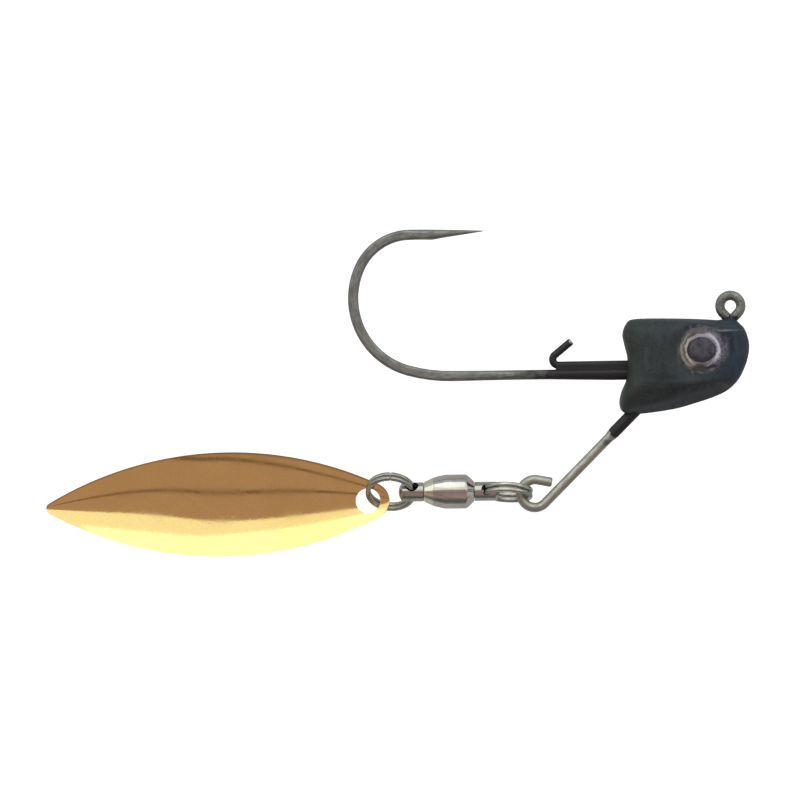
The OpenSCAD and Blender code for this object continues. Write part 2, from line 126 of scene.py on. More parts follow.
# Swivel
STEM_R = 1.15
STEM_REACH = 1.62
STEM_ROOT = 1.4
STEM_CORNER = 0.05
NOSE_STEPS = 8
NOSE_LAP = 0.1
HOLE_R = 0.7
HOLE_BELLY_R = 0.9
HOLE_FLARE = 0.1
HOLE_LIP = 0.92
HOLE_CORNER = 0.12
BORE_R = 1.0925
FRONT_SLOT_LEN = 0.8
FRONT_SLOT_SHIFT = -0.1
NECK_R = 0.62
FLANGE_R = 1.4
FLANGE_T = 0.5
FLANGE_DEPTH = 1.947
BARREL_AT = 1.46
BARREL_LEN = 6
BARREL_R = 2.05
BARREL_END_R = 1.2
BARREL_LIP = 0.1
BARREL_LIP_RISE = 0.094
BARREL_BORE_R = 1.56
BARREL_SEAM_R = 1.75
BARREL_CORNER = 0.22
NECK_BORE_R = 0.67
CHAMFER_LEN = 0.9
SHOULDER_LEN = 1.3
RACE_DEPTH = 0.7
COLLAR_LEN = 1.2
COLLAR_CORNER = 0.1
SPIGOT_FIT = 0.02
SPIGOT_LIP = 0.12

# Blade, whose hole end lies along X
BLADE_HALF_W = 6.25
BLADE_EDGE_R = 42.5
BLADE_END_R = 2.2
BLADE_TIP_R = 0.7
BLADE_T = 0.5
BLADE_STEPS = (150, 44)
BLADE_BEVEL = 0.06
BEVEL_FROM = 60
BLADE_RIM = 0.35
BLADE_HOLE_R = 1.5
BLADE_HOLE_INSET = 0.4
BLADE_DRILL_REACH = 3
BLADE_RIDE = 28
BLADE_SINK = (0.364, 0.3)
BLADE_FALL = 0.8
CUP_LONG_R = 130
CUP_SLOPE = 0.5
CUP_POWER = 2.3
BLADE_LEAN = 0.008
TIP_TWIST = (0.068, 7)
END_TWIST = (0.03, 10)

# Head
HEAD_OUTLINE = [
    (-12.95, -3.4), (-12.55, -2.2), (-11.6, -1.6), (-8, -1.5), (-3.3, -1.6), (0, -1.9), (1.45, -2.45),
    (2.1, -3.8), (2.25, -5.2), (1.9, -6.9), (1, -8.8), (-0.3, -10.1), (-1.9, -10.9), (-4.1, -11.65),
    (-6.8, -12.4), (-10.7, -12.95), (-12.7, -12.85), (-13.3, -11.9), (-13.1, -10.4), (-12.45, -8.7),
    (-12.35, -6.4), (-12.75, -4.6)]
OUTLINE_STEPS = 6
# Leans from the outline's edge to the middle of a side
HEAD_LEANS = [*range(0, 85, 4), 87, 89, 89.8]
HEAD_CORE = (-5.6, -6.9)
HEAD_HALF_W = 3.86
HEAD_WIDEST = -8.5
HEAD_NOSE = 2.25
NOSE_TAPER = 0.3
HEAD_SQUARE = 3.4
BELLY_FROM = -9.4
BELLY_SLOPE = 0.62
BELLY_BLEND = 0.5
RIM_FROM = -11.0
RIM_SLOPE = 0.32
RIM_BLEND = 0.4
BEVEL_LIMIT = 9.0
KEEL = 0.35
KEEL_SLOPE = 1.35
KEEL_BLEND = 0.5
KEEL_FADE = 2
# Outline points between which the keel runs, and before which the top of the head lies
KEEL_SPAN = (11, 15.5)
TOP_UNTIL = 7
TIE_MOUND_H = 0.7
TIE_MOUND_X = 0.05
TIE_MOUND_REACH = (0.8, 0.9)

# Eyes
EYE_AT = (-3.5, -5.3)
EYE_DIA = 5.5
EYE_SEAT = 3.05
EYE_FLUSH = 3.22
EYE_FLUSH_MARGIN = 0.1
EYE_FLUSH_REACH = 4.6
EYE_FLUSH_FROM = (2.0, 2.8)
POCKET_GAP = 0.03
POCKET_DEPTH = 2
FOIL_T = 0.15
DISC_CORNER = 0.3
PUPIL_DIA = 3.2
PUPIL_T = 0.06
PUPIL_OVAL = (1.08, 0.93, 1)
PUPIL_OFF = (-0.1, 0.02, 0.01)
PUPIL_WOBBLE = 0.05
PUPIL_WAVES = 1.6
PUPIL_WAVES_Z = 7
DOME_H = 0.7
DOME_SKIRT = 0.13
DOME_STEPS = 14
DOME_WOBBLE = 0.25
DOME_WAVES = 0.9
DOME_WAVES_AT = (3.1, 0, 0)
DOME_WAVES_FROM = 0.7
# The dome's run-out past the rim as its width and drop, and its underside as radius and height
DOME_RUN_OUT = [(0.2, 0.03), (0.42, 0.1), (0.2, 0.11)]
DOME_UNDERSIDE = [(2.65, 0.015), (2.0, 0.015), (1.9, 0.09), (0, 0.09)]


def place(x, y, heading):
    """A place in the lure's own plane that faces along a heading."""
    return Matrix.Translation((x, y, 0)) @ Matrix.Rotation(math.radians(heading), 4, "Z")


def frame_at(origin, forward, up):
    """A place at a point whose Z lies along forward and whose X lies as near up as it can."""
    z = Vector(forward).normalized()
    x = (Vector(up) - z * z.dot(Vector(up))).normalized()
    facing = Matrix((x, z.cross(x), z)).transposed().to_4x4()
    return Matrix.Translation(origin) @ facing


def joint_point(name):
    return Vector(joints[name]["pos_m"]) / MM


def joint_axis(name):
    return Vector(joints[name]["axis"])


def eased_step(start, end, value):
    """A smooth step from 0 at the start to 1 at the end."""
    t = min(1.0, max(0.0, (value - start) / (end - start)))
    return t * t * (3 - 2 * t)


def soft_min(a, b, radius):
    """The lesser of two values, with their meeting rounded."""
    blend = max(0.0, radius - abs(a - b)) / radius
    return min(a, b) - blend * blend * radius / 4


# Node trees


def add(tree, kind, inputs=None, **settings):
    """One shader node, its settings, and its inputs as values or links."""
    made = tree.nodes.new("ShaderNode" + kind)
    for key, value in settings.items():
        setattr(made, key, value)
    for key, value in (inputs or {}).items():
        if isinstance(value, bpy.types.NodeSocket):
            tree.links.new(value, made.inputs[key])
        else:
            made.inputs[key].default_value = value
    return made


def feed(tree, node, **outputs):
    """Links outputs to the inputs that their names say."""
    for key, output in outputs.items():
        tree.links.new(output, node.inputs[key.replace("_", " ")])


def ramp(tree, factor, stops):
    """A colour ramp with stops of (place, colour)."""
    made = add(tree, "ValToRGB", {"Fac": factor})
    elements = made.color_ramp.elements
    while len(elements) < len(stops):
        elements.new(1)
    for element, (at, colour) in zip(elements, sorted(stops)):
        element.position = at
        element.color = (*colour, 1)
    return made.outputs["Color"]


def remap(tree, value, low, high, to_low=0.0, to_high=1.0):
    """A value mapped smoothly from one range to another."""
    made = add(tree, "MapRange", {"Value": value, "From Min": low, "From Max": high, "To Min": to_low,
                                  "To Max": to_high}, interpolation_type="SMOOTHSTEP")
    return made.outputs["Result"]


def mix(tree, factor, first, second):
    """Two colours mixed by a factor."""
    made = add(tree, "Mix", {0: factor}, data_type="RGBA")
    for key, value in ((6, first), (7, second)):
        if isinstance(value, bpy.types.NodeSocket):
            tree.links.new(value, made.inputs[key])
        else:
            made.inputs[key].default_value = (*value, 1)
    return made.outputs[2]


def overlay(tree, colour, value, span, most, tint):
    """A colour with a tint over it, which grows to its most as a value crosses a span."""
    return mix(tree, remap(tree, value, *span, 0, most), colour, tint)


def darker(colour, share):
    return tuple(share * part for part in colour)


def maths(tree, operation, *values):
    """The result of one operation on values or links."""
    return add(tree, "Math", dict(enumerate(values)), operation=operation).outputs[0]


def added(tree, base, value, share):
    """A base value with a share of another one added."""
    return maths(tree, "MULTIPLY_ADD", value, share, base)


def vectors(tree, operation, first, second):
    """The result of one operation on two vectors."""
    return add(tree, "VectorMath", {0: first, 1: second}, operation=operation).outputs[0]


def scaled(tree, vector, size):
    return add(tree, "VectorMath", {0: vector, "Scale": size}, operation="SCALE").outputs[0]


def split(tree, vector):
    return add(tree, "SeparateXYZ", {"Vector": vector}).outputs


def clouds(tree, coords, scale, detail, **more):
    """Soft noise of a scale and detail, and of a roughness or distortion where one is given."""
    return add(tree, "TexNoise", {"Vector": coords, "Scale": scale, "Detail": detail, **more}).outputs["Fac"]


def lure_coords(tree):
    """Object coordinates in millimetres."""
    return scaled(tree, add(tree, "TexCoord").outputs["Object"], 1 / MM)


def wire_coords(tree):
    """The coordinates that follow a wire: distance along it, and the place in its section."""
    return add(tree, "Attribute", attribute_name="wire_lay").outputs["Vector"]


def mark_on(tree, name):
    """A mark that a piece's own mesh carries."""
    return add(tree, "Attribute", attribute_name=name).outputs["Fac"]


def spot(tree, coords, at, stretch):
    """Distance from a place in the lure's plane, in units of a stretch in X and Y, for patches and rings."""
    shifted = vectors(tree, "ADD", coords, (-at[0], -at[1], 0))
    sized = vectors(tree, "MULTIPLY", shifted, (1 / stretch[0], 1 / stretch[1], 0))
    return add(tree, "VectorMath", {0: sized}, operation="LENGTH").outputs["Value"]


def wobbled(tree, coords, scale, reach):
    """Coordinates pushed about by soft noise, for marks drawn by hand."""
    push = add(tree, "TexNoise", {"Vector": coords, "Scale": scale, "Detail": 3}).outputs["Color"]
    centred = vectors(tree, "ADD", push, (-0.5, -0.5, -0.5))
    return vectors(tree, "ADD", coords, scaled(tree, centred, reach))


def group(name, inputs, outputs):
    """An empty node group with named value inputs and outputs, and a Vector input."""
    tree = bpy.data.node_groups.new(name, "ShaderNodeTree")
    tree.interface.new_socket("Vector", in_out="INPUT", socket_type="NodeSocketVector")
    for key in inputs:
        tree.interface.new_socket(key, in_out="INPUT", socket_type="NodeSocketFloat")
    for key in outputs:
        tree.interface.new_socket(key, in_out="OUTPUT", socket_type="NodeSocketFloat")
    return tree, tree.nodes.new("NodeGroupInput").outputs, tree.nodes.new("NodeGroupOutput")


def use_group(tree, name, vector, **values):
    """A node group placed in a material, with its own values."""
    made = tree.nodes.new("ShaderNodeGroup")
    made.node_tree = bpy.data.node_groups[name]
    tree.links.new(vector, made.inputs["Vector"])
    for key, value in values.items():
        made.inputs[key].default_value = value
    return made.outputs


def make_drawn_grain():
    """Fine streaks along a drawn wire, and the haze that breaks them."""
    tree, given, result = group("drawn_grain", ["Fineness"], ["Streak", "Haze"])
    stretched = vectors(tree, "MULTIPLY", given["Vector"], (0.12, 1, 1))
    streak = clouds(tree, stretched, given["Fineness"], 4, Roughness=0.6)
    haze = clouds(tree, given["Vector"], 0.9, 5)
    feed(tree, result, Streak=remap(tree, streak, 0.3, 0.7), Haze=remap(tree, haze, 0.35, 0.7))


# Three lays of scratches as their turn in radians and how long they are drawn out
SCRATCH_LAYS = [(0.3, 14), (-0.5, 11), (1.3, 17)]


def make_handling_marks():
    """Hairline scratches and soft smudges on a bright surface."""
    tree, given, result = group("handling_marks", ["Scratches", "Smudges"], ["Scratch", "Smudge"])
    lines = None
    for turn, stretch in SCRATCH_LAYS:
        laid = add(tree, "VectorRotate", {"Vector": given["Vector"], "Angle": turn}, rotation_type="Z_AXIS")
        drawn_out = vectors(tree, "MULTIPLY", laid.outputs[0], (1 / stretch, 1, 1))
        line = remap(tree, clouds(tree, drawn_out, given["Scratches"], 3), 0.66, 0.74)
        lines = line if lines is None else maths(tree, "MAXIMUM", lines, line)
    smudge = clouds(tree, given["Vector"], given["Smudges"], 4, Distortion=0.6)
    feed(tree, result, Scratch=lines, Smudge=remap(tree, smudge, 0.38, 0.68))


def make_paint_skin():
    """The low waves, pits and mottle of brushed-on paint."""
    tree, given, result = group("paint_skin", ["Scale"], ["Height", "Mottle"])
    wave = clouds(tree, given["Vector"], given["Scale"], 3)
    pits = add(tree, "TexVoronoi", {"Vector": given["Vector"], "Scale": 5.5}, feature="SMOOTH_F1")
    height = added(tree, wave, remap(tree, pits.outputs["Distance"], 0.0, 0.22), 0.25)
    mottle = clouds(tree, given["Vector"], 0.55, 6, Distortion=0.8)
    feed(tree, result, Height=height, Mottle=remap(tree, mottle, 0.3, 0.7))


def finish(name, **values):
    """A material with its node tree and shader, and the values that are the same all over."""
    made = bpy.data.materials.new(name)
    made.use_nodes = True
    shader = made.node_tree.nodes["Principled BSDF"]
    for key, value in values.items():
        shader.inputs[key.replace("_", " ")].default_value = value
    return made, made.node_tree, shader


def bump(tree, shader, height, distance):
    """Relief of a height map on a shader, as deep as a distance in millimetres."""
    made = add(tree, "Bump", {"Height": height, "Distance": distance * MM, "Strength": 1.0})
    feed(tree, shader, Normal=made.outputs["Normal"])


# Colours

BLACK_PAINT = (0.013, 0.014, 0.014)
GREEN_PAINT = (0.040, 0.053, 0.053)
BLUE_PAINT = (0.035, 0.054, 0.074)
REAR_PAINT = (0.045, 0.056, 0.048)
# Painted highlight for the keel
KEEL_HIGHLIGHT = (0.060, 0.080, 0.086)
PALE_GRAIN = (0.075, 0.092, 0.095)
DARK_GRAIN = (0.012, 0.020, 0.024)
PALE_BRUSH = (0.066, 0.084, 0.086)
DARK_BRUSH = (0.020, 0.028, 0.028)
# Painted shade for the inside of a stem's hole
BORE_SHADE = (0.02, 0.019, 0.017)
WORN_FOIL = (0.200, 0.196, 0.170)
VIOLET_FOIL = (0.165, 0.170, 0.245)
FOIL_FLECK = (0.560, 0.580, 0.720)
DULL_FOIL = (0.070, 0.070, 0.080)
INNER_FOIL = (0.400, 0.395, 0.400)
DARK_PUPIL = (0.062, 0.066, 0.086)
PALE_PUPIL = (0.118, 0.124, 0.152)
LOW_PUPIL = (0.028, 0.022, 0.050)
PUPIL_RIM = (0.024, 0.020, 0.028)
DARK_RESIN = (0.070, 0.080, 0.092)
PALE_RESIN = (0.330, 0.345, 0.355)
GOLD = (0.91, 0.68, 0.25)
PALE_GOLD = (0.95, 0.72, 0.28)
SATIN_GOLD = (0.80, 0.58, 0.22)
SMUDGED_GOLD = (0.86, 0.62, 0.25)
# Painted dark reflection for the blade's upper rim
SHADED_RIM_GOLD = (0.48, 0.34, 0.12)

# Marks as their place and reach in millimetres, colour and strength
HEAD_MARKS = [
    ((-4.95, -2.7), (0.9, 0.5), (0.003, 0.006, 0.036), 0.95),
    ((-0.6, -3.5), (1.2, 0.45), (0.004, 0.009, 0.030), 0.9),
    ((0.0, -4.5), (0.5, 1.0), (0.005, 0.012, 0.030), 0.85),
    ((1.35, -3.9), (0.6, 1.4), (0.034, 0.036, 0.066), 0.7),
    ((0.5, -7.0), (0.8, 1.5), (0.030, 0.060, 0.120), 0.7),
    ((-10.2, -6.2), (0.3, 1.6), (0.085, 0.098, 0.100), 0.5),
    # A painted highlight along the belly crease
    ((-6.0, -9.05), (4.2, 0.3), (0.060, 0.078, 0.078), 0.6),
    ((-8.0, -8.4), (2.0, 0.35), (0.024, 0.030, 0.024), 0.6),
    # Painted shade on the belly bevel
    ((-5.0, -10.2), (5.2, 0.75), (0.024, 0.029, 0.024), 0.65),
    ((-0.7, -2.95), (1.6, 0.12), (0.300, 0.320, 0.350), 0.7),
    ((-4.7, -7.85), (0.14, 0.5), (0.300, 0.310, 0.290), 0.6),
    ((-4.9, -2.75), (0.14, 0.4), (0.180, 0.190, 0.240), 0.6),
    ((-0.75, -5.2), (0.6, 1.5), (0.170, 0.180, 0.215), 0.65),
    ((-6.3, -5.7), (0.4, 1.3), (0.110, 0.112, 0.100), 0.55),
]
EYE_MARKS = [
    ((-3.7, -7.6), (1.9, 0.55), (0.045, 0.047, 0.048), 0.85),
    ((-4.9, -3.45), (0.9, 0.45), (0.090, 0.085, 0.080), 0.7),
    ((-4.9, -6.9), (0.7, 0.5), (0.300, 0.295, 0.255), 0.7),
    ((-2.5, -7.25), (1.35, 0.30), (0.022, 0.018, 0.030), 0.95),
    ((-1.8, -7.65), (0.9, 0.14), (0.260, 0.270, 0.270), 0.8),
    ((-2.15, -3.7), (0.55, 0.45), (0.400, 0.430, 0.510), 0.7),
    ((-3.7, -7.05), (0.7, 0.16), (0.110, 0.085, 0.085), 0.8),
]
MARK_RAGGED = 1.6
MARK_FADE = (2.1, 1.1)

# Strokes round the eye as their radius, half width, middle and half span in degrees, colour and strength
EYE_STROKES = [
    (2.18, 0.16, 180, 45, (0.150, 0.142, 0.120), 0.7),
    (2.46, 0.20, 178, 50, (0.400, 0.400, 0.365), 0.9),
    (1.92, 0.22, 186, 52, (0.640, 0.630, 0.560), 0.95),
    (1.80, 0.26, 100, 42, (0.520, 0.490, 0.520), 0.9),
    (1.98, 0.28, 14, 54, (0.740, 0.780, 0.870), 1.0),
    (1.96, 0.18, -56, 18, (0.420, 0.410, 0.420), 0.8),
    (2.72, 0.10, -75, 30, (0.260, 0.265, 0.265), 0.6),
]
STROKE_RAGGED = 0.65
STROKE_SHIFT = 0.32
STROKE_CORE = 0.3
STROKE_FADE = 14

PAINT_ROUGHNESS = 0.48
PLATE_SCRATCHES = 6.0
PLATE_SMUDGES = 0.5
PLATE_SCRATCH_DEPTH = 0.0015


# Finishes


def marked(tree, coords, colour, marks, ragged):
    """A colour with ragged marks laid over it."""
    for at, reach, tint, strength in marks:
        edge = added(tree, spot(tree, coords, at, reach), ragged, MARK_RAGGED)
        colour = overlay(tree, colour, edge, MARK_FADE, strength, tint)
    return colour


def make_head_paint():
    """Brushed green-black paint: bluer at the nose, greener on the rear rim, with a painted highlight along
    the keel.
    """
    made, tree, shader = finish("head_paint", Coat_Roughness=0.3, Specular_IOR_Level=0.2)
    coords = lure_coords(tree)
    axes = split(tree, coords)
    skin = use_group(tree, "paint_skin", coords, Scale=1.6)
    ragged = clouds(tree, coords, 1.5, 5)
    grain = clouds(tree, coords, 4.5, 3, Roughness=0.7)
    brush = clouds(tree, vectors(tree, "MULTIPLY", coords, (1.5, 0.4, 1.5)), 1.1, 4, Roughness=0.65)
    cool = remap(tree, added(tree, axes["X"], skin["Mottle"], 3.0), -8, 2.5)
    colour = mix(tree, cool, GREEN_PAINT, BLUE_PAINT)
    rear = remap(tree, added(tree, axes["X"], ragged, 0.5), -10.35, -10.8)
    colour = mix(tree, rear, colour, REAR_PAINT)
    colour = marked(tree, wobbled(tree, coords, 0.6, 0.8), colour, HEAD_MARKS, ragged)
    # A painted highlight along the rounded bottom of the keel, where floor light catches it
    inner = remap(tree, maths(tree, "ABSOLUTE", axes["Z"]), 2.6, 1.8)
    keel = maths(tree, "MULTIPLY", inner, remap(tree, axes["Y"], -9.0, -10.2))
    colour = mix(tree, keel, colour, KEEL_HIGHLIGHT)
    colour = overlay(tree, colour, grain, (0.45, 0.75), 0.5, PALE_GRAIN)
    colour = overlay(tree, colour, grain, (0.45, 0.22), 0.6, DARK_GRAIN)
    colour = overlay(tree, colour, brush, (0.5, 0.72), 0.45, PALE_BRUSH)
    colour = overlay(tree, colour, brush, (0.48, 0.28), 0.5, DARK_BRUSH)
    feed(tree, shader, Base_Color=colour, Roughness=remap(tree, skin["Mottle"], 0, 1, 0.42, 0.55),
         Coat_Weight=remap(tree, skin["Mottle"], 0.2, 1, 0.06, 0.0))
    bump(tree, shader, added(tree, skin["Height"], grain, 0.3), 0.06)
    return made


def painted_wire(name, dark, light, paint_mask, roughness, pitting):
    """A drawn wire, with paint where the mask that a function makes says so."""
    made, tree, shader = finish(name)
    coords = lure_coords(tree)
    grain = use_group(tree, "drawn_grain", wire_coords(tree), Fineness=7.0)
    skin = use_group(tree, "paint_skin", coords, Scale=2.4)
    metal = mix(tree, grain["Streak"], dark, light)
    metal = overlay(tree, metal, grain["Haze"], (0, 1), 0.25, darker(dark, 0.55))
    metal = overlay(tree, metal, clouds(tree, coords, 14.0, 3), (0.5, 0.72), pitting, darker(dark, 0.3))
    paint = paint_mask(tree, coords, skin["Mottle"])
    bare_roughness = remap(tree, grain["Haze"], 0, 1, *roughness)
    rough = add(tree, "Mix", {0: paint, 2: bare_roughness, 3: PAINT_ROUGHNESS}, data_type="FLOAT").outputs[0]
    feed(tree, shader, Base_Color=mix(tree, paint, metal, BLACK_PAINT), Roughness=rough,
         Metallic=remap(tree, paint, 0.4, 0.6, 1.0, 0.0))
    bump(tree, shader, added(tree, skin["Height"], grain["Streak"], 0.35), 0.018)
    return made


def hook_paint_mask(tree, coords, mottle):
    """Paint over the neck and over the shank, thinning out behind the keeper."""
    axes = split(tree, coords)
    before_bend = remap(tree, added(tree, axes["X"], mottle, 2.4), -26.0, -20.4)
    shank = maths(tree, "MULTIPLY", before_bend, remap(tree, axes["Y"], -6.5, -7.0))
    near_head = remap(tree, axes["X"], -14, -12)
    below_tie = remap(tree, added(tree, axes["Y"], mottle, 0.5), -0.8, -1.2)
    on_tie = maths(tree, "MULTIPLY", near_head, remap(tree, axes["Y"], -2.4, -1.0))
    specks = remap(tree, clouds(tree, coords, 4.5, 3), 0.55, 0.66, 0, 0.8)
    neck = maths(tree, "MAXIMUM", maths(tree, "MULTIPLY", below_tie, near_head),
                 maths(tree, "MULTIPLY", specks, on_tie))
    return maths(tree, "MAXIMUM", shank, neck)


def arm_paint_mask(tree, coords, mottle):
    """Paint down the arm from the head, ending in a chipped edge, with a dark spot past it as painted shade.
    """
    axes = split(tree, coords)
    along = maths(tree, "ADD", axes["X"], axes["Y"])
    paint = remap(tree, added(tree, along, mottle, 1.2), -29.7, -29.2)
    chip = remap(tree, spot(tree, coords, (-14.75, -15.35), (0.4, 0.5)), 1.0, 0.7)
    left = maths(tree, "SUBTRACT", paint, maths(tree, "MULTIPLY", chip, paint))
    # A dark spot of paint colour past the sleeve's end, as painted shade below the sleeve's step
    shade_past_sleeve = spot(tree, wobbled(tree, coords, 1.6, 0.7), (-14.85, -16.4), (0.7, 0.4))
    return maths(tree, "MAXIMUM", left, remap(tree, shade_past_sleeve, 1.2, 0.3, 0, 0.75))


def keeper_paint_mask(tree, coords, mottle):
    """Paint all over, worn off at the barb's tip."""
    from_tip = spot(tree, coords, BARB_TIP, (0.42, 0.42))
    return remap(tree, added(tree, from_tip, mottle, 0.4), 0.8, 1.2)


def plated(name, dark, light, roughness):
    """Bright plate with hairline scratches and smudges, and painted shade inside a marked bore."""
    made, tree, shader = finish(name, Metallic=1.0)
    coords = lure_coords(tree)
    marks = use_group(tree, "handling_marks", coords, Scratches=PLATE_SCRATCHES, Smudges=PLATE_SMUDGES)
    colour = mix(tree, marks["Smudge"], light, dark)
    # Painted shade inside the stem's hole
    colour = overlay(tree, colour, mark_on(tree, "bore"), (0.3, 1), 0.95, BORE_SHADE)
    hazed = remap(tree, marks["Smudge"], 0, 1, *roughness)
    feed(tree, shader, Base_Color=colour, Roughness=added(tree, hazed, marks["Scratch"], 0.08))
    bump(tree, shader, maths(tree, "SUBTRACT", 1.0, marks["Scratch"]), PLATE_SCRATCH_DEPTH)
    return made


def ring_finish(name, dark, light, roughness):
    """Bright flattened ring wire, with its grain along the coil."""
    made, tree, shader = finish(name, Metallic=1.0)
    grain = use_group(tree, "drawn_grain", wire_coords(tree), Fineness=9.0)
    colour = mix(tree, grain["Streak"], dark, light)
    colour = overlay(tree, colour, grain["Haze"], (0.2, 1), 0.35, darker(dark, 0.55))
    feed(tree, shader, Base_Color=colour, Roughness=remap(tree, grain["Haze"], 0, 1, *roughness))
    bump(tree, shader, grain["Streak"], 0.005)
    return made


def stroked(tree, coords, colour, uneven):
    """A colour with bright and dark strokes that run round the eye."""
    axes = split(tree, coords)
    reach = spot(tree, coords, EYE_AT, (1, 1))
    right = maths(tree, "SUBTRACT", axes["X"], EYE_AT[0])
    up = maths(tree, "SUBTRACT", axes["Y"], EYE_AT[1])
    ragged = added(tree, reach, uneven, STROKE_RAGGED)
    for radius, width, middle, span, tint, strength in EYE_STROKES:
        turn = math.radians(middle)
        towards = added(tree, maths(tree, "MULTIPLY", up, math.sin(turn)), right, math.cos(turn))
        ends = [math.cos(math.radians(span + fade)) for fade in (STROKE_FADE, -STROKE_FADE)]
        near = remap(tree, maths(tree, "DIVIDE", towards, reach), *ends)
        off = maths(tree, "ABSOLUTE", maths(tree, "SUBTRACT", ragged, radius + STROKE_SHIFT))
        line = maths(tree, "MULTIPLY", near, remap(tree, off, width, STROKE_CORE * width, 0, strength))
        colour = mix(tree, line, colour, tint)
    return colour


def make_iris():
    """Silver foil, worn to grey on one side and flecked with violet on the other, with bright strokes."""
    made, tree, shader = finish("eye_foil", Specular_IOR_Level=0.3)
    coords = lure_coords(tree)
    drawn = wobbled(tree, coords, 1.1, 0.35)
    uneven = clouds(tree, coords, 2.0, 5, Roughness=0.7)
    cells = add(tree, "TexVoronoi", {"Vector": coords, "Scale": 4.2}).outputs["Distance"]
    side = remap(tree, split(tree, coords)["X"], EYE_AT[0] - 0.6, EYE_AT[0] + 1.2)
    colour = mix(tree, side, WORN_FOIL, VIOLET_FOIL)
    flecks = maths(tree, "MULTIPLY", side, remap(tree, cells, 0.38, 0.12, 0, 0.95))
    colour = mix(tree, flecks, colour, FOIL_FLECK)
    colour = overlay(tree, colour, uneven, (0.4, 0.65), 0.5, DULL_FOIL)
    near_pupil = added(tree, spot(tree, drawn, EYE_AT, (1, 1)), uneven, 0.5)
    colour = overlay(tree, colour, near_pupil, (2.25, 1.9), 0.4, INNER_FOIL)
    colour = marked(tree, drawn, colour, EYE_MARKS, uneven)
    colour = stroked(tree, wobbled(tree, coords, 1.4, 0.4), colour, uneven)
    feed(tree, shader, Base_Color=colour, Metallic=remap(tree, uneven, 0.3, 0.7, 0.0, 0.2),
         Roughness=remap(tree, uneven, 0.3, 0.7, 0.35, 0.55))
    bump(tree, shader, uneven, 0.05)
    return made


def make_pupil():
    """Dark cloudy print, more violet below its middle, with a darker rim."""
    made, tree, shader = finish("eye_pupil", Specular_IOR_Level=0.3)
    coords = lure_coords(tree)
    cloudy = clouds(tree, coords, 0.9, 6)
    colour = mix(tree, remap(tree, cloudy, 0.35, 0.65), DARK_PUPIL, PALE_PUPIL)
    height = added(tree, split(tree, coords)["Y"], cloudy, 1.2)
    colour = overlay(tree, colour, height, (EYE_AT[1] + 0.5, EYE_AT[1] - 0.5), 0.85, LOW_PUPIL)
    rim = spot(tree, wobbled(tree, coords, 1.2, 0.4), EYE_AT, (PUPIL_DIA / 2, PUPIL_DIA / 2))
    colour = overlay(tree, colour, rim, (0.85, 1.02), 0.8, PUPIL_RIM)
    feed(tree, shader, Base_Color=colour, Roughness=remap(tree, cloudy, 0.3, 0.7, 0.25, 0.45))
    return made


def make_dome():
    """Clear resin that hazes towards its rim, where it thins out over the paint."""
    made, tree, shader = finish("eye_dome", Specular_IOR_Level=0.3)
    coords = lure_coords(tree)
    smear = clouds(tree, coords, 1.3, 4, Distortion=0.5)
    reach = spot(tree, wobbled(tree, coords, 0.8, 0.7), EYE_AT, (1, 1))
    haze = remap(tree, reach, 2.52, 2.88, 0.03, 0.55)
    run_out = remap(tree, added(tree, reach, smear, 0.6), 3.4, 2.95)
    colour = mix(tree, remap(tree, smear, 0.35, 0.65), DARK_RESIN, PALE_RESIN)
    feed(tree, shader, Base_Color=colour, Alpha=maths(tree, "MULTIPLY", haze, run_out),
         Roughness=remap(tree, reach, 1.9, 3.0, 0.15, 0.5))
    bump(tree, shader, smear, 0.03)
    return made


def make_blade_gold():
    """Gold plate that drifts in tone, with a satin skin, handling marks and a painted dark reflection along
    its upper rim.
    """
    made, tree, shader = finish("blade_gold", Metallic=1.0)
    coords = lure_coords(tree)
    marks = use_group(tree, "handling_marks", coords, Scratches=3.2, Smudges=0.22)
    drift = clouds(tree, coords, 0.12, 3)
    satin = clouds(tree, coords, 3.5, 2)
    colour = mix(tree, remap(tree, drift, 0.35, 0.65), GOLD, PALE_GOLD)
    colour = overlay(tree, colour, satin, (0.35, 0.7), 0.3, SATIN_GOLD)
    colour = overlay(tree, colour, marks["Smudge"], (0, 1), 0.25, SMUDGED_GOLD)
    # Painted dark reflection along the blade's upper edge
    colour = overlay(tree, colour, mark_on(tree, "rim"), (0.15, 0.8), 0.75, SHADED_RIM_GOLD)
    hazed = remap(tree, marks["Smudge"], 0, 1, 0.08, 0.14)
    feed(tree, shader, Base_Color=colour, Roughness=added(tree, hazed, marks["Scratch"], 0.05))
    bump(tree, shader, added(tree, satin, marks["Scratch"], -0.35), 0.0025)
    return made


# Meshes

SHARP_FROM = math.radians(38)
WELD = 1e-5
CORNER_SHARE = 0.45
TO_SECTION = Matrix(((0, 0, 1, 0), (1, 0, 0, 0), (0, 1, 0, 0), (0, 0, 0, 1)))
ROUND_END = [(0.04,), (0.06,), (0.1,)]
END_REACH = 0.2
END_SIZE = 0.62


def formed(name, bm, material, at=None):
    """An object from a mesh in millimetres, with its place in its mesh."""
    bmesh.ops.remove_doubles(bm, verts=bm.verts, dist=WELD)
    bmesh.ops.recalc_face_normals(bm, faces=bm.faces)
    mesh = bpy.data.meshes.new(name)
    bm.to_mesh(mesh)
    bm.free()
    mesh.transform(Matrix.Scale(MM, 4) @ (at or Matrix()))
    mesh.materials.append(material)
    made = bpy.data.objects.new(name, mesh)
    scene.collection.objects.link(made)
    shade_smooth(mesh)
    return made


def settle(name, bm, material, node, body, at=None):
    """The piece of a mesh, which stands for a node and rides on its body."""
    piece = formed(name, bm, material, at)
    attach(piece, body)
    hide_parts(node)
    return piece


def shade_smooth(mesh):
    mesh.polygons.foreach_set("use_smooth", [True] * len(mesh.polygons))
    mesh.set_sharp_from_angle(angle=SHARP_FROM)


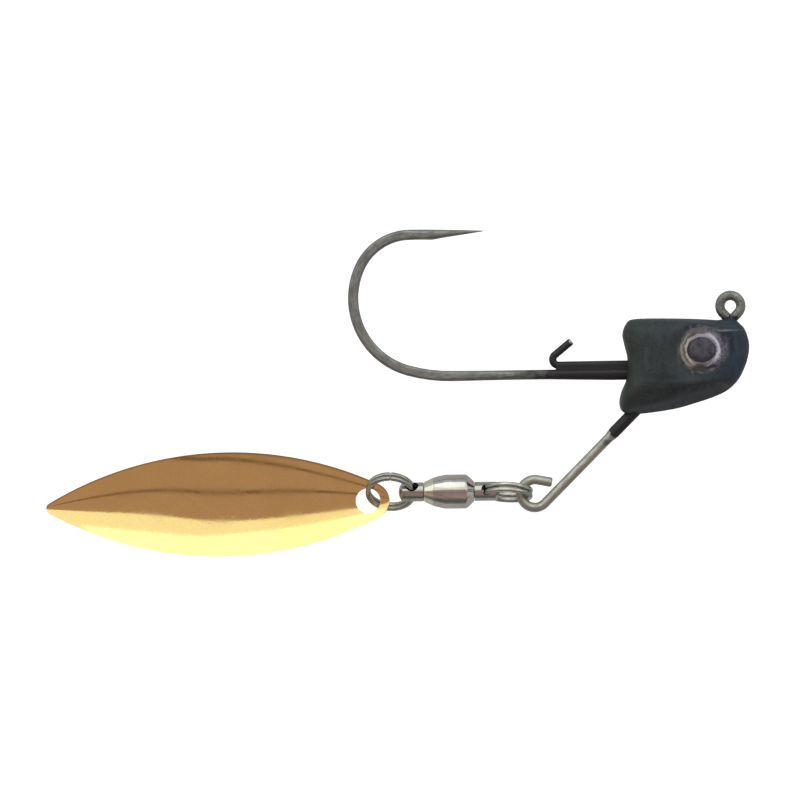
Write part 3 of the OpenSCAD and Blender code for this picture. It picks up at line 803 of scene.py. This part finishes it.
def drill(piece, bm, at):
    """Takes the form of a mesh out of a piece for good."""
    cutter = formed("drill", bm, piece.data.materials[0], at)
    change = piece.modifiers.new("hole", "BOOLEAN")
    change.solver = "EXACT"
    change.object = cutter
    seen = piece.evaluated_get(bpy.context.evaluated_depsgraph_get())
    mesh = bpy.data.meshes.new_from_object(seen)
    piece.modifiers.clear()
    piece.data = mesh
    bpy.data.objects.remove(cutter)
    shade_smooth(mesh)


def new_edges(grown):
    return [g for g in grown if isinstance(g, bmesh.types.BMEdge) and g.is_boundary]


def new_verts(grown):
    return [g for g in grown if isinstance(g, bmesh.types.BMVert)]


def turned(profile, steps=72):
    """A closed form spun about Z from a profile of (radius, height) points."""
    bm = bmesh.new()
    verts = [bm.verts.new((r, 0, z)) for r, z in profile]
    edges = [bm.edges.new(pair) for pair in zip(verts, verts[1:])]
    bmesh.ops.spin(bm, geom=verts + edges, cent=(0, 0, 0), axis=(0, 0, 1), angle=2 * math.pi, steps=steps,
                   use_merge=True)
    return bm


def softened(points, radius, steps=4):
    """A profile with each corner between its ends rounded by a short arc."""
    rounded = [points[0]]
    for before, point, after in zip(points, points[1:], points[2:]):
        corner = Vector(point)
        back = Vector(before) - corner
        ahead = Vector(after) - corner
        reach = min(radius, CORNER_SHARE * back.length, CORNER_SHARE * ahead.length)
        start = corner + back.normalized() * reach
        end = corner + ahead.normalized() * reach
        for t in (i / steps for i in range(steps + 1)):
            rounded.append(tuple((1 - t) ** 2 * start + 2 * t * (1 - t) * corner + t * t * end))
    return rounded + [points[-1]]


# Wires


def straight(length, count):
    """A straight length of wire as equal steps."""
    return [(length / count,)] * count


def run(start, steps, fineness=5):
    """Stations along a wire. Each step is a straight (length,) or a bend (radius, turn in degrees)."""
    at = start
    along = 0.0
    stations = [(at.copy(), along)]
    for step in steps:
        if len(step) == 1:
            at = at @ Matrix.Translation((step[0], 0, 0))
            along += step[0]
            stations.append((at.copy(), along))
            continue
        radius, turn = step
        side = math.copysign(radius, turn)
        count = max(2, math.ceil(abs(turn) / fineness))
        part = Matrix.Rotation(math.radians(turn / count), 4, "Z")
        for _ in range(count):
            at = at @ Matrix.Translation((0, side, 0)) @ part @ Matrix.Translation((0, -side, 0))
            along += radius * math.radians(abs(turn) / count)
            stations.append((at.copy(), along))
    return stations


def sweep(bm, stations, scale):
    """Draws the section that lies in bm, about its own X and Y, through stations, and closes both ends."""
    lay = bm.verts.layers.float_vector.new("wire_lay")
    sized = [(at @ Matrix.Diagonal((1, *scale(along), 1)), along) for at, along in stations]
    for vert in bm.verts:
        vert[lay] = (0, vert.co.x, vert.co.y)
    edges = list(bm.edges)
    bmesh.ops.transform(bm, matrix=sized[0][0] @ TO_SECTION, verts=bm.verts)
    bmesh.ops.contextual_create(bm, geom=edges)
    for (before, _), (after, along) in zip(sized, sized[1:]):
        grown = bmesh.ops.extrude_edge_only(bm, edges=edges)["geom"]
        verts = new_verts(grown)
        edges = new_edges(grown)
        bmesh.ops.transform(bm, matrix=after @ before.inverted(), verts=verts)
        for vert in verts:
            vert[lay] = (along, vert[lay][1], vert[lay][2])
    bmesh.ops.contextual_create(bm, geom=edges)
    return lay


def round_section(bm, diameter, sides=24):
    bmesh.ops.create_circle(bm, segments=sides, radius=diameter / 2)


def flat_section(bm, width, height, corner):
    square = Matrix.Diagonal((width, height, 1, 1)) @ Matrix.Rotation(math.pi / 4, 4, "Z")
    bmesh.ops.create_circle(bm, segments=4, radius=math.sqrt(0.5), matrix=square)
    bmesh.ops.bevel(bm, geom=list(bm.verts), offset=corner, offset_type="OFFSET", segments=3, profile=0.5,
                    affect="VERTICES", material=-1)


def rounded_ends(length, reach=END_REACH, least=END_SIZE):
    """A scale that rounds both ends of a wire over a short reach, down to a least size."""
    def scale(along):
        depth = min(along, length - along)
        part = min(1.0, max(0.0, depth) / reach)
        size = least + (1 - least) * math.sqrt(1 - (1 - part) ** 2)
        return size, size
    return scale


def make_hook(material):
    """The hook from the free end of its line tie to its point."""
    free_end = math.radians(180 + TIE_TURN)
    tie = place(TIE_R * math.cos(free_end), TIE_R * math.sin(free_end), 90 + TIE_TURN)
    start = tie @ Matrix.Translation((-TIE_FREE_STRAND, 0, 0))
    neck = SHANK_DROP - NECK_BEND_R * math.sin(math.radians(90 - SHANK_TILT)) - TIE_DROP
    steps = [(TIE_FREE_STRAND,), (TIE_R, -180 - 2 * TIE_TURN), (TIE_STRAND,), (TIE_NECK_R, TIE_TURN), (neck,),
             (NECK_BEND_R, SHANK_TILT - 90), *straight(SHANK_LEN, 8), *HOOK_BEND, *straight(SPEAR_LEN, 8),
             (POINT_BEND_R, POINT_CANT), *straight(POINT_LEN, 12)[1:]]
    stations = run(start, steps, fineness=4)
    point_from = stations[-1][1] - POINT_LEN
    bend_len = sum(radius * math.radians(-turn) for radius, turn in HOOK_BEND)
    forge_from = point_from - SPEAR_LEN - bend_len - FORGE_LEAD

    def scale(along):
        part = max(0.0, along - point_from) / POINT_LEN
        size = 1 - POINT_TAPER * part ** POINT_CURVE
        return size * (1 + FORGE_SPREAD * forged(along, forge_from, point_from)), size

    bm = bmesh.new()
    round_section(bm, HOOK_WIRE_D, 28)
    lay = sweep(bm, stations, scale)
    forge(bm, lay, forge_from, point_from)
    raise_swell(bm, lay, point_from + SWELL_AT)
    coat_shank(bm, lay)
    settle("bent_hook", bm, material, "jig_hook", "head")


def forged(along, start, end):
    """How fully the wire is pressed at a place along it, fading in and out of the bend."""
    return min(1.0, max(0.0, min(along - start, end + FORGE_PAST - along) / FORGE_FADE))


def forge(bm, lay, start, end):
    """Presses the two sides of the bend flat."""
    for vert in bm.verts:
        along, _, up = vert[lay]
        limit = HOOK_WIRE_D / 2 * (1 - FORGE_FLAT * forged(along, start, end))
        knee = FORGE_KNEE * limit
        if abs(up) > knee:
            room = limit - knee
            pressed = knee + room * math.tanh((abs(up) - knee) / room)
            vert.co.z *= pressed / abs(up)


def raise_swell(bm, lay, at):
    """A tiny swell of a barb on the inner side of the point."""
    for vert in bm.verts:
        along, side, _ = vert[lay]
        ahead = along - at
        rise = math.exp(-(ahead / (SWELL_BEHIND if ahead < 0 else SWELL_AHEAD)) ** 2)
        if side < 0:
            vert.co.y -= SWELL_H * rise * (-side) / (HOOK_WIRE_D / 2)


def coat_shank(bm, lay):
    """Paint that builds up under the shank towards the head."""
    for vert in bm.verts:
        side = vert[lay][1]
        if side > 0 and vert.co.y < -SHANK_DROP + HOOK_WIRE_D:
            vert.co.y -= PAINT_BUILD * eased_step(*PAINT_BUILD_SPAN, vert.co.x) * side / (HOOK_WIRE_D / 2)


def make_keeper(material):
    """The keeper's wire with its barb, and the web of paint that joins it to the shank."""
    steps = [*ROUND_END, (KEEPER_RUN - END_REACH,), (KEEPER_TURN_R, BARB_SLOPE - 180 - SHANK_TILT),
             (BARB_LEN - END_REACH,), *ROUND_END[::-1]]
    stations = run(place(*KEEPER_END, 180 + SHANK_TILT), steps)
    bm = bmesh.new()
    round_section(bm, KEEPER_WIRE_D)
    lay = sweep(bm, stations, rounded_ends(stations[-1][1]))
    for vert in bm.verts:
        along, side, _ = vert[lay]
        if side > 0 and along < KEEPER_RUN + WEB_PAST:
            low = side / (KEEPER_WIRE_D / 2)
            vert.co.y -= WEB_DROP * low
            half_w = max(abs(vert.co.z), WEB_HALF_W * min(1.0, WEB_RAMP * low))
            vert.co.z = math.copysign(half_w, vert.co.z)
    settle("keeper_barb", bm, material, "bait_keeper", "head")


def make_arm(material):
    """The arm with its sleeve of paint near the head and its open loop."""
    steps = [*ROUND_END, (ARM_ROOT - END_REACH,), (ARM_BEND_R, ARM_SLOPE), *straight(ARM_LEN, 40),
             (LOOP_R, -LOOP_TURN), (LOOP_TAIL - END_REACH,), *ROUND_END[::-1]]
    stations = run(place(*ARM_START, 180), steps)
    bare = rounded_ends(stations[-1][1])

    def coated(along):
        size = bare(along)[0] * (1 + ARM_COAT * eased_step(*ARM_COAT_SPAN, along))
        return size, size

    bm = bmesh.new()
    round_section(bm, ARM_WIRE_D)
    sweep(bm, stations, coated)
    settle("arm_and_loop", bm, material, "spinner_arm", "head")


def make_ring(name, at, climb_at, thickness, material, node, body):
    """Two flat turns of ring wire and the climb between them, about the place's Z."""
    lift = thickness + RING_TURN_GAP
    turn = 360 - RING_CLIMB
    parts = [i / RING_STEPS for i in range(RING_STEPS + 1)]
    climb_parts = [i / CLIMB_STEPS for i in range(1, CLIMB_STEPS)]
    lower = [(-RING_LAP + (turn + RING_LAP) * t, -lift / 2) for t in parts]
    climb = [(turn + RING_CLIMB * t, lift * (eased_step(0, 1, t) - 0.5)) for t in climb_parts]
    upper = [(360 + (turn + RING_LAP) * t, lift / 2) for t in parts]
    stations = []
    for angle, z in lower + climb + upper:
        swung = Matrix.Rotation(math.radians(climb_at + RING_CLIMB / 2 + angle), 4, "Z")
        facing = Matrix.Translation((RING_R, 0, z)) @ Matrix.Rotation(math.pi / 2, 4, "Z")
        stations.append((at @ swung @ facing, math.radians(angle + RING_LAP) * RING_R))
    bm = bmesh.new()
    flat_section(bm, RING_WIRE_W, thickness, RING_CORNER)
    sweep(bm, stations, rounded_ends(stations[-1][1], RING_END_REACH, RING_END_SIZE))
    settle(name, bm, material, node, body)


# Swivel


def make_stem(name, at, material, node, body, slot_len=1.0, slot_shift=0.0):
    """A drilled stem with its neck and flange. The place's X lies along the hole, or the short slot."""
    nose_turn = math.asin(STEM_R / STEM_REACH)
    nose_turns = [i / NOSE_STEPS * nose_turn for i in range(NOSE_STEPS + 1)]
    nose = [(STEM_REACH * math.sin(a), -STEM_REACH * math.cos(a)) for a in nose_turns]
    inner = BARREL_AT + FLANGE_DEPTH
    outer = inner + FLANGE_T
    side = [(STEM_R, nose[-1][1] + NOSE_LAP), (STEM_R, STEM_ROOT), (NECK_R, STEM_ROOT), (NECK_R, inner),
            (FLANGE_R, inner), (FLANGE_R, outer), (0, outer)]
    form = turned(nose + softened(side, STEM_CORNER, 3))
    stem = settle(name, form, material, node, body, at)
    reach = 2 * STEM_R
    mouth = HOLE_R + HOLE_FLARE
    hole = [(0, -reach), (2 * mouth, -reach), (mouth, -STEM_R), (HOLE_R, -HOLE_LIP), (HOLE_BELLY_R, 0),
            (HOLE_R, HOLE_LIP), (mouth, STEM_R), (2 * mouth, reach), (0, reach)]
    slot = Matrix.Translation((0, 0, slot_shift)) @ Matrix.Diagonal((1, 1, slot_len, 1))
    across = Matrix.Rotation(math.pi / 2, 4, "Y")
    drill(stem, turned(softened(hole, HOLE_CORNER, 3)), at @ slot @ across)
    mark_bore(stem.data, at)


def mark_bore(mesh, at):
    """Marks the inside of a stem's hole, which the finish darkens as painted shade."""
    marks = mesh.attributes.new("bore", "FLOAT", "POINT").data
    to_stem = at.inverted() @ Matrix.Scale(1 / MM, 4)
    for vert, mark in zip(mesh.vertices, marks):
        x, y, z = to_stem @ vert.co
        mark.value = 1.0 if math.hypot(x, y) < BORE_R and abs(z) < STEM_R else 0.0


def make_barrel(at, material):
    """The barrel from its front race to the seam."""
    seam = BARREL_LEN - COLLAR_LEN
    race_end = RACE_DEPTH + BARREL_BORE_R - NECK_BORE_R
    profile = [(NECK_BORE_R, RACE_DEPTH), (NECK_BORE_R, 0), (BARREL_END_R - BARREL_LIP, 0), (BARREL_END_R, 0),
               (BARREL_END_R + BARREL_LIP_RISE, BARREL_LIP), (BARREL_R, CHAMFER_LEN),
               (BARREL_R, seam - SHOULDER_LEN), (BARREL_SEAM_R, seam), (BARREL_BORE_R, seam),
               (BARREL_BORE_R, race_end), (NECK_BORE_R, RACE_DEPTH)]
    settle("barrel_shell", turned(softened(profile, BARREL_CORNER)), material, "swivel_barrel", "barrel",
           at @ Matrix.Translation((0, 0, BARREL_AT)))


def make_collar(at, material):
    """The barrel's rear end, with its spigot and the rear race."""
    spigot = BARREL_BORE_R - SPIGOT_FIT
    lip = spigot - SPIGOT_LIP
    race_end = RACE_DEPTH + lip - NECK_BORE_R
    profile = [(NECK_BORE_R, RACE_DEPTH), (NECK_BORE_R, 0), (BARREL_END_R, 0), (BARREL_SEAM_R, COLLAR_LEN),
               (spigot, COLLAR_LEN), (spigot, race_end), (lip, race_end), (NECK_BORE_R, RACE_DEPTH)]
    settle("collar_cap", turned(softened(profile, COLLAR_CORNER)), material, "barrel_collar", "barrel",
           at @ Matrix.Translation((0, 0, BARREL_AT)))


# Blade


def blade_round_at(r):
    """Distance of the middle of the round end, or of the tip's, from the middle of the blade."""
    return math.sqrt((BLADE_EDGE_R - r) ** 2 - (BLADE_EDGE_R - BLADE_HALF_W) ** 2)


def blade_edge(x):
    """Half width of the blade at a place along it."""
    for sign, r in ((1, BLADE_END_R), (-1, BLADE_TIP_R)):
        middle = blade_round_at(r)
        if sign * x > middle * BLADE_EDGE_R / (BLADE_EDGE_R - r):
            return math.sqrt(max(0.0, r * r - (sign * x - middle) ** 2))
    return math.sqrt(BLADE_EDGE_R ** 2 - x * x) - (BLADE_EDGE_R - BLADE_HALF_W)


def blade_bow(x):
    """How far the cup lifts the middle line of the blade at a place along it."""
    return CUP_LONG_R - math.sqrt(CUP_LONG_R ** 2 - x * x)


def blade_twist(x):
    """How far the blade leans over at a place along it, growing towards both ends."""
    most, reach = TIP_TWIST if x < 0 else END_TWIST
    return BLADE_LEAN + most * (1 - math.exp(-(x / reach) ** 2))


def make_blade(at, material):
    """A cupped leaf whose sides rise in step with its width, and its hole."""
    end = blade_round_at(BLADE_END_R) + BLADE_END_R
    tip = -blade_round_at(BLADE_TIP_R) - BLADE_TIP_R
    bm = bmesh.new()
    rim_of = bm.verts.layers.float.new("rim")
    bmesh.ops.create_grid(bm, x_segments=BLADE_STEPS[0], y_segments=BLADE_STEPS[1], size=1)
    for vert in bm.verts:
        u, t, _ = vert.co
        x = (end + tip) / 2 + (end - tip) / 2 * math.sin(u * math.pi / 2)
        half = blade_edge(x)
        across = math.sin(t * math.pi / 2) * 0.5 + t * 0.5
        rise = half * CUP_SLOPE / CUP_POWER * abs(across) ** CUP_POWER
        # The rim mark runs along the upper edge only, where the finish paints a dark reflection
        vert[rim_of] = max(0.0, 1 - half * (1 - across) / BLADE_RIM)
        vert.co = (x, half * across, blade_bow(x) + rise - blade_twist(x) * half * across)
    bmesh.ops.remove_doubles(bm, verts=bm.verts, dist=10 * WELD)
    grown = bmesh.ops.extrude_face_region(bm, geom=bm.faces[:])["geom"]
    bmesh.ops.translate(bm, verts=new_verts(grown), vec=(0, 0, BLADE_T))
    bmesh.ops.recalc_face_normals(bm, faces=bm.faces)
    bm.normal_update()
    sharp = math.radians(BEVEL_FROM)
    rim = [e for e in bm.edges if len(e.link_faces) == 2 and e.calc_face_angle(0) > sharp]
    bmesh.ops.bevel(bm, geom=rim, offset=BLADE_BEVEL, offset_type="OFFSET", segments=2, profile=0.5,
                    affect="EDGES", material=-1, clamp_overlap=True)
    hole_x = blade_round_at(BLADE_END_R) - BLADE_HOLE_INSET
    hole_z = blade_bow(hole_x) + BLADE_T / 2
    seat = at @ Matrix.Translation((-hole_x, 0, -hole_z))
    blade = settle("leaf_blade", bm, material, "willow_blade", "blade", seat)
    reach = BLADE_DRILL_REACH
    drill(blade, turned([(0, -reach), (BLADE_HOLE_R, -reach), (BLADE_HOLE_R, reach), (0, reach)]), at)


# Head and eyes


def outline_at(turn):
    """A smooth closed curve through the side view's points."""
    count = len(HEAD_OUTLINE)
    step = int(turn) % count
    t = turn - int(turn)
    a, b, c, d = (Vector(HEAD_OUTLINE[(step + k) % count]) for k in (-1, 0, 1, 2))
    square = 2 * a - 5 * b + 4 * c - d
    cube = 3 * b - a - 3 * c + d
    return 0.5 * (2 * b + (c - a) * t + square * t * t + cube * t ** 3)


def head_place(turn, lean):
    """A place on the head: round its outline, and in from the outline's edge towards a side."""
    power = 2 / HEAD_SQUARE
    shrink = math.cos(lean) ** power
    core = Vector(HEAD_CORE)
    out = outline_at(turn) - core
    x, y = core + out * shrink
    fore = max(0.0, (x - HEAD_WIDEST) / (HEAD_NOSE - HEAD_WIDEST))
    z = HEAD_HALF_W * (1 - NOSE_TAPER * fore * fore) * abs(math.sin(lean)) ** power
    z = soft_min(z, HEAD_HALF_W - BELLY_SLOPE * max(-BEVEL_LIMIT, BELLY_FROM - y), BELLY_BLEND)
    z = soft_min(z, HEAD_HALF_W - RIM_SLOPE * max(-BEVEL_LIMIT, RIM_FROM - x), RIM_BLEND)
    from_eye = (Vector((x, y)) - Vector(EYE_AT)).length
    near_eye = eased_step(EYE_FLUSH_REACH, EYE_DIA / 2 + EYE_FLUSH_MARGIN, from_eye)
    z += (EYE_FLUSH - z) * near_eye * eased_step(*EYE_FLUSH_FROM, z)
    inset = (1 - shrink) * out.length
    away = max(0.0, KEEL_SPAN[0] - turn, turn - KEEL_SPAN[1])
    z = soft_min(z, KEEL + KEEL_SLOPE * inset + KEEL_FADE * away, KEEL_BLEND)
    if turn < TOP_UNTIL:
        along, aside = TIE_MOUND_REACH
        y += TIE_MOUND_H * math.exp(-((x - TIE_MOUND_X) / along) ** 2 - (z / aside) ** 2)
    return Vector((x, y, math.copysign(max(0.0, z), lean)))


def make_head(material):
    """The head: its side view drawn in towards both sides, with a flat belly bevel and a rolled rear rim."""
    count = len(HEAD_OUTLINE)
    around = count * OUTLINE_STEPS
    leans = [math.radians(a) for a in [*(-a for a in HEAD_LEANS[:0:-1]), *HEAD_LEANS]]
    bm = bmesh.new()
    turn_of = bm.verts.layers.float.new("turn")
    lean_of = bm.verts.layers.float.new("lean")
    ring = bmesh.ops.create_circle(bm, segments=around, radius=1)["verts"]
    for i, vert in enumerate(ring):
        vert[turn_of] = i * count / around
        vert[lean_of] = leans[0]
    edges = list(bm.edges)
    bmesh.ops.contextual_create(bm, geom=edges)
    for lean in leans[1:]:
        grown = bmesh.ops.extrude_edge_only(bm, edges=edges)["geom"]
        edges = new_edges(grown)
        for vert in new_verts(grown):
            vert[lean_of] = lean
    bmesh.ops.contextual_create(bm, geom=edges)
    for vert in bm.verts:
        vert.co = head_place(vert[turn_of], vert[lean_of])
    head = settle("painted_head", bm, material, "head_casting", "head")
    pocket = EYE_DIA / 2 + POCKET_GAP
    hollow = [(0, 0), (pocket, 0), (pocket, POCKET_DEPTH), (0, POCKET_DEPTH)]
    for side in ("right", "left"):
        drill(head, turned(hollow), eye_seat(side))


def eye_seat(side):
    """The place of an eye's underside, with Z out of the head."""
    if side == "right":
        return Matrix.Translation((*EYE_AT, EYE_SEAT))
    return Matrix.Translation((*EYE_AT, -EYE_SEAT)) @ Matrix.Rotation(math.pi, 4, "X")


def disc(radius, thick):
    profile = [(0, 0), (radius, 0), (radius, thick), (0, thick)]
    return turned(softened(profile, DISC_CORNER * thick, 3), 80)


def pupil_form():
    """A thin spot with a slightly uneven outline."""
    bm = disc(PUPIL_DIA / 2, PUPIL_T)
    for vert in bm.verts:
        wave = noise.noise(PUPIL_WAVES * Vector((vert.co.x, vert.co.y, PUPIL_WAVES_Z)))
        vert.co.xy *= 1 + PUPIL_WOBBLE * wave
    bmesh.ops.scale(bm, vec=PUPIL_OVAL, verts=bm.verts)
    return bm


def dome_form():
    """A low dome that runs out unevenly over the paint, hollow over the pupil."""
    rim = EYE_DIA / 2
    turns = [i / DOME_STEPS * math.pi / 2 for i in range(DOME_STEPS + 1)]
    cap = [(rim * math.sin(a), DOME_SKIRT + (DOME_H - DOME_SKIRT) * math.cos(a)) for a in turns]
    run_out = [(rim + width, DOME_SKIRT - drop) for width, drop in DOME_RUN_OUT]
    bm = turned(cap + run_out + DOME_UNDERSIDE)
    for vert in bm.verts:
        outer = max(0.0, vert.co.xy.length / rim - DOME_WAVES_FROM)
        push = noise.noise(vert.co * DOME_WAVES + Vector(DOME_WAVES_AT)) * outer
        vert.co.xy *= 1 + DOME_WOBBLE * push
    return bm


def make_eye(side, finishes):
    """One stick-on eye: foil, pupil and the clear dome that runs out over the paint."""
    foil, pupil, dome = finishes
    seat = eye_seat(side)
    on_foil = seat @ Matrix.Translation((0, 0, FOIL_T))
    settle(f"{side}_iris", disc(EYE_DIA / 2, FOIL_T), foil, f"{side}_eye_foil", "head", seat)
    settle(f"{side}_pupil_spot", pupil_form(), pupil, f"{side}_eye_pupil", "head",
           on_foil @ Matrix.Translation(PUPIL_OFF))
    settle(f"{side}_clear_dome", dome_form(), dome, f"{side}_eye_dome", "head", on_foil)


# Setting: camera, light and floor

VIEW_MIDDLE = (-39.64, -11.3)
VIEW_WIDTH = 96
LENS = 400
SENSOR = 36
NEAREST = 0.01
FARTHEST = 10
WHITE = (1, 1, 1, 1)

# Sky colours by the tilt from overhead towards the hook's side, in degrees
SKY_ZONES = [
    (-90, (0.28, 0.28, 0.28)), (-80, (0.19, 0.19, 0.19)), (-72, (0.11, 0.125, 0.14)),
    (-58, (0.15, 0.14, 0.145)), (-48, (0.42, 0.295, 0.29)), (13, (0.42, 0.295, 0.29)),
    (14, (1.07, 1.07, 1.07)), (66, (1.07, 1.07, 1.07)), (70, (0.47, 0.51, 0.56)), (90, (0.53, 0.57, 0.62))]
# Dark stripes across the sky as their slant, place towards the blade's side and half width
STANDS = [(0, 8, 2.6), (0.72, 50, 3.6)]
STAND_COLOUR = (0.05, 0.03, 0.025)
STAND_CORE = 0.4
STAND_DEPTH = 0.65
# A brighter panel from a slanted, curved edge to the end of the bright zone
PANEL_FROM = 31
PANEL_EDGE = 0.7
PANEL_END = (70, 66)
PANEL_SLANT = 0.6
PANEL_CURVE = 0.02
PANEL_COLOUR = (1.6, 1.6, 1.6)
SIDES_FROM = (0.86, 0.99)
SIDES_COLOUR = (0.56, 0.61, 0.64)

FLOOR_SPAN = 3
# Low enough for the blade to swing clear at every pose
FLOOR_Z = -48
FLOOR_GREY = (0.56, 0.595, 0.595)
FLOOR_PALE = (0.60, 0.635, 0.635)
FLOOR_GLOW = 0.76
# Share of the floor's white that shows in the metal
FLOOR_MIRRORED = 0.1


def make_camera():
    lens = bpy.data.cameras.new("camera")
    lens.lens = LENS
    lens.sensor_width = SENSOR
    lens.clip_start = NEAREST
    lens.clip_end = FARTHEST
    camera = bpy.data.objects.new("camera", lens)
    camera.location = Vector((*VIEW_MIDDLE, VIEW_WIDTH * LENS / SENSOR)) * MM
    scene.collection.objects.link(camera)
    scene.camera = camera


def make_sky():
    """Soft light from the hook's side, brown overhead, dark on the blade's side and pale at both ends."""
    world = bpy.data.worlds.new("studio")
    scene.world = world
    world.use_nodes = True
    tree = world.node_tree
    tree.nodes.clear()
    axes = split(tree, add(tree, "TexCoord").outputs["Generated"])
    tilt = maths(tree, "DIVIDE", maths(tree, "ARCTAN2", axes["Y"], axes["Z"]), math.radians(1))
    lean = maths(tree, "DIVIDE", maths(tree, "ARCTAN2", axes["X"], axes["Z"]), math.radians(1))
    across = add(tree, "MapRange", {"Value": tilt, "From Min": -90, "From Max": 90}).outputs["Result"]
    sky = ramp(tree, across, [(0.5 + degrees / 180, colour) for degrees, colour in SKY_ZONES])
    for slant, offset, width in STANDS:
        off = maths(tree, "ABSOLUTE", maths(tree, "ADD", added(tree, tilt, lean, slant), offset))
        sky = overlay(tree, sky, off, (width, STAND_CORE * width), STAND_DEPTH, STAND_COLOUR)
    edge = maths(tree, "MULTIPLY", lean, added(tree, PANEL_SLANT, lean, PANEL_CURVE))
    past_edge = maths(tree, "SUBTRACT", tilt, edge)
    over = remap(tree, past_edge, PANEL_FROM - PANEL_EDGE, PANEL_FROM + PANEL_EDGE)
    panel = maths(tree, "MULTIPLY", over, remap(tree, tilt, *PANEL_END))
    sky = mix(tree, panel, sky, PANEL_COLOUR)
    sky = mix(tree, remap(tree, maths(tree, "ABSOLUTE", axes["X"]), *SIDES_FROM), sky, SIDES_COLOUR)
    light = add(tree, "Background", {"Color": sky, "Strength": 1.0})
    white = add(tree, "Background", {"Color": WHITE, "Strength": 1.0})
    seen = add(tree, "LightPath").outputs["Is Camera Ray"]
    both = add(tree, "MixShader", {0: seen, 1: light.outputs[0], 2: white.outputs[0]})
    feed(tree, add(tree, "OutputWorld"), Surface=both.outputs[0])


def make_floor():
    """A pale floor that looks white to the camera and keeps a light shadow."""
    made = bpy.data.materials.new("table_white")
    made.use_nodes = True
    tree = made.node_tree
    tree.nodes.clear()
    path = add(tree, "LightPath").outputs
    seen = maths(tree, "MAXIMUM", path["Is Camera Ray"], path["Is Transmission Ray"])
    mirrored = maths(tree, "MULTIPLY", path["Is Glossy Ray"], FLOOR_MIRRORED)
    shown = maths(tree, "MAXIMUM", seen, mirrored)
    grain = clouds(tree, lure_coords(tree), 0.4, 4)
    pale = add(tree, "BsdfDiffuse", {"Color": mix(tree, grain, FLOOR_GREY, FLOOR_PALE)}).outputs[0]
    glow = add(tree, "Emission", {"Color": WHITE, "Strength": FLOOR_GLOW}).outputs[0]
    lit = add(tree, "AddShader", {0: pale, 1: glow}).outputs[0]
    both = add(tree, "MixShader", {0: shown, 1: pale, 2: lit})
    feed(tree, add(tree, "OutputMaterial"), Surface=both.outputs[0])
    bm = bmesh.new()
    bmesh.ops.create_grid(bm, x_segments=4, y_segments=4, size=FLOOR_SPAN / 2)
    mesh = bpy.data.meshes.new("table_top")
    bm.to_mesh(mesh)
    bm.free()
    mesh.transform(Matrix.Translation((0, 0, FLOOR_Z * MM)))
    mesh.materials.append(made)
    floor = bpy.data.objects.new("table_top", mesh)
    scene.collection.objects.link(floor)


# Assembly

scene.view_settings.view_transform = "Standard"
make_camera()
make_sky()
make_floor()

make_drawn_grain()
make_handling_marks()
make_paint_skin()
hook_finish = painted_wire("hook_wire", (0.24, 0.26, 0.235), (0.41, 0.445, 0.395), hook_paint_mask,
                           (0.5, 0.62), 0.45)
arm_finish = painted_wire("arm_wire", (0.40, 0.425, 0.36), (0.61, 0.645, 0.545), arm_paint_mask,
                          (0.42, 0.52), 0.2)
keeper_finish = painted_wire("keeper_paint", (0.42, 0.42, 0.41), (0.60, 0.60, 0.58), keeper_paint_mask,
                             (0.4, 0.5), 0)
ring_metal = ring_finish("ring_wire", (0.38, 0.385, 0.335), (0.60, 0.605, 0.535), (0.2, 0.32))
stem_metal = plated("stem_metal", (0.42, 0.41, 0.36), (0.54, 0.53, 0.47), (0.16, 0.28))
barrel_metal = plated("barrel_plate", (0.56, 0.555, 0.49), (0.65, 0.645, 0.57), (0.09, 0.13))
collar_metal = plated("collar_plate", (0.72, 0.72, 0.56), (0.84, 0.84, 0.66), (0.12, 0.2))
ball_metal = plated("ball_steel", (0.6, 0.6, 0.6), (0.7, 0.7, 0.7), (0.06, 0.12))

make_hook(hook_finish)
make_keeper(keeper_finish)
make_arm(arm_finish)
make_head(make_head_paint())
eye_finishes = make_iris(), make_pupil(), make_dome()
for eye_side in ("right", "left"):
    make_eye(eye_side, eye_finishes)

front_ring_at = joint_point("stem_on_ring")
front_hole = joint_point("front_spin")
rear_hole = joint_point("ring_in_stem")
rear_ring_at = joint_point("blade_on_ring")
front_normal = joint_axis("stem_on_ring")
rear_normal = joint_axis("blade_on_ring")
swivel_axis = joint_axis("front_spin")
rear_hole_axis = joint_axis("ring_in_stem")
to_loop = joint_point("ring_in_loop") - front_ring_at
to_blade = (rear_ring_at - rear_hole).normalized()

make_ring("front_ring_coil", frame_at(front_ring_at, front_normal, to_loop), FRONT_CLIMB_AT, FRONT_RING_T,
          ring_metal, "front_split_ring", "front_ring")
make_ring("rear_ring_coil", frame_at(rear_ring_at, rear_normal, to_blade), REAR_CLIMB_AT, REAR_RING_T,
          ring_metal, "rear_split_ring", "rear_ring")
front_swivel = frame_at(front_hole, swivel_axis, swivel_axis.cross(front_normal))
rear_swivel = frame_at(rear_hole, -swivel_axis, rear_hole_axis)
make_stem("front_drilled_stem", front_swivel, stem_metal, "front_stem", "front_stem", FRONT_SLOT_LEN,
          FRONT_SLOT_SHIFT)
make_stem("rear_drilled_stem", rear_swivel, stem_metal, "rear_stem", "rear_stem")
make_barrel(front_swivel, barrel_metal)
make_collar(rear_swivel, collar_metal)

ride = math.radians(BLADE_RIDE)
blade_seat = rear_ring_at + RING_R * (math.cos(ride) * to_blade - math.sin(ride) * rear_hole_axis)
droop = Vector((-1, 0, 0)).rotation_difference(swivel_axis).to_matrix()
blade_seat -= droop @ Vector((*BLADE_SINK, 0))
fall = Matrix.Rotation(math.radians(BLADE_FALL), 4, "Z")
make_blade(Matrix.Translation(blade_seat) @ droop.to_4x4() @ fall, make_blade_gold())

for node in ("front_balls", "rear_balls"):
    frame["nodes"][node].data.materials.clear()
    frame["nodes"][node].data.materials.append(ball_metal)
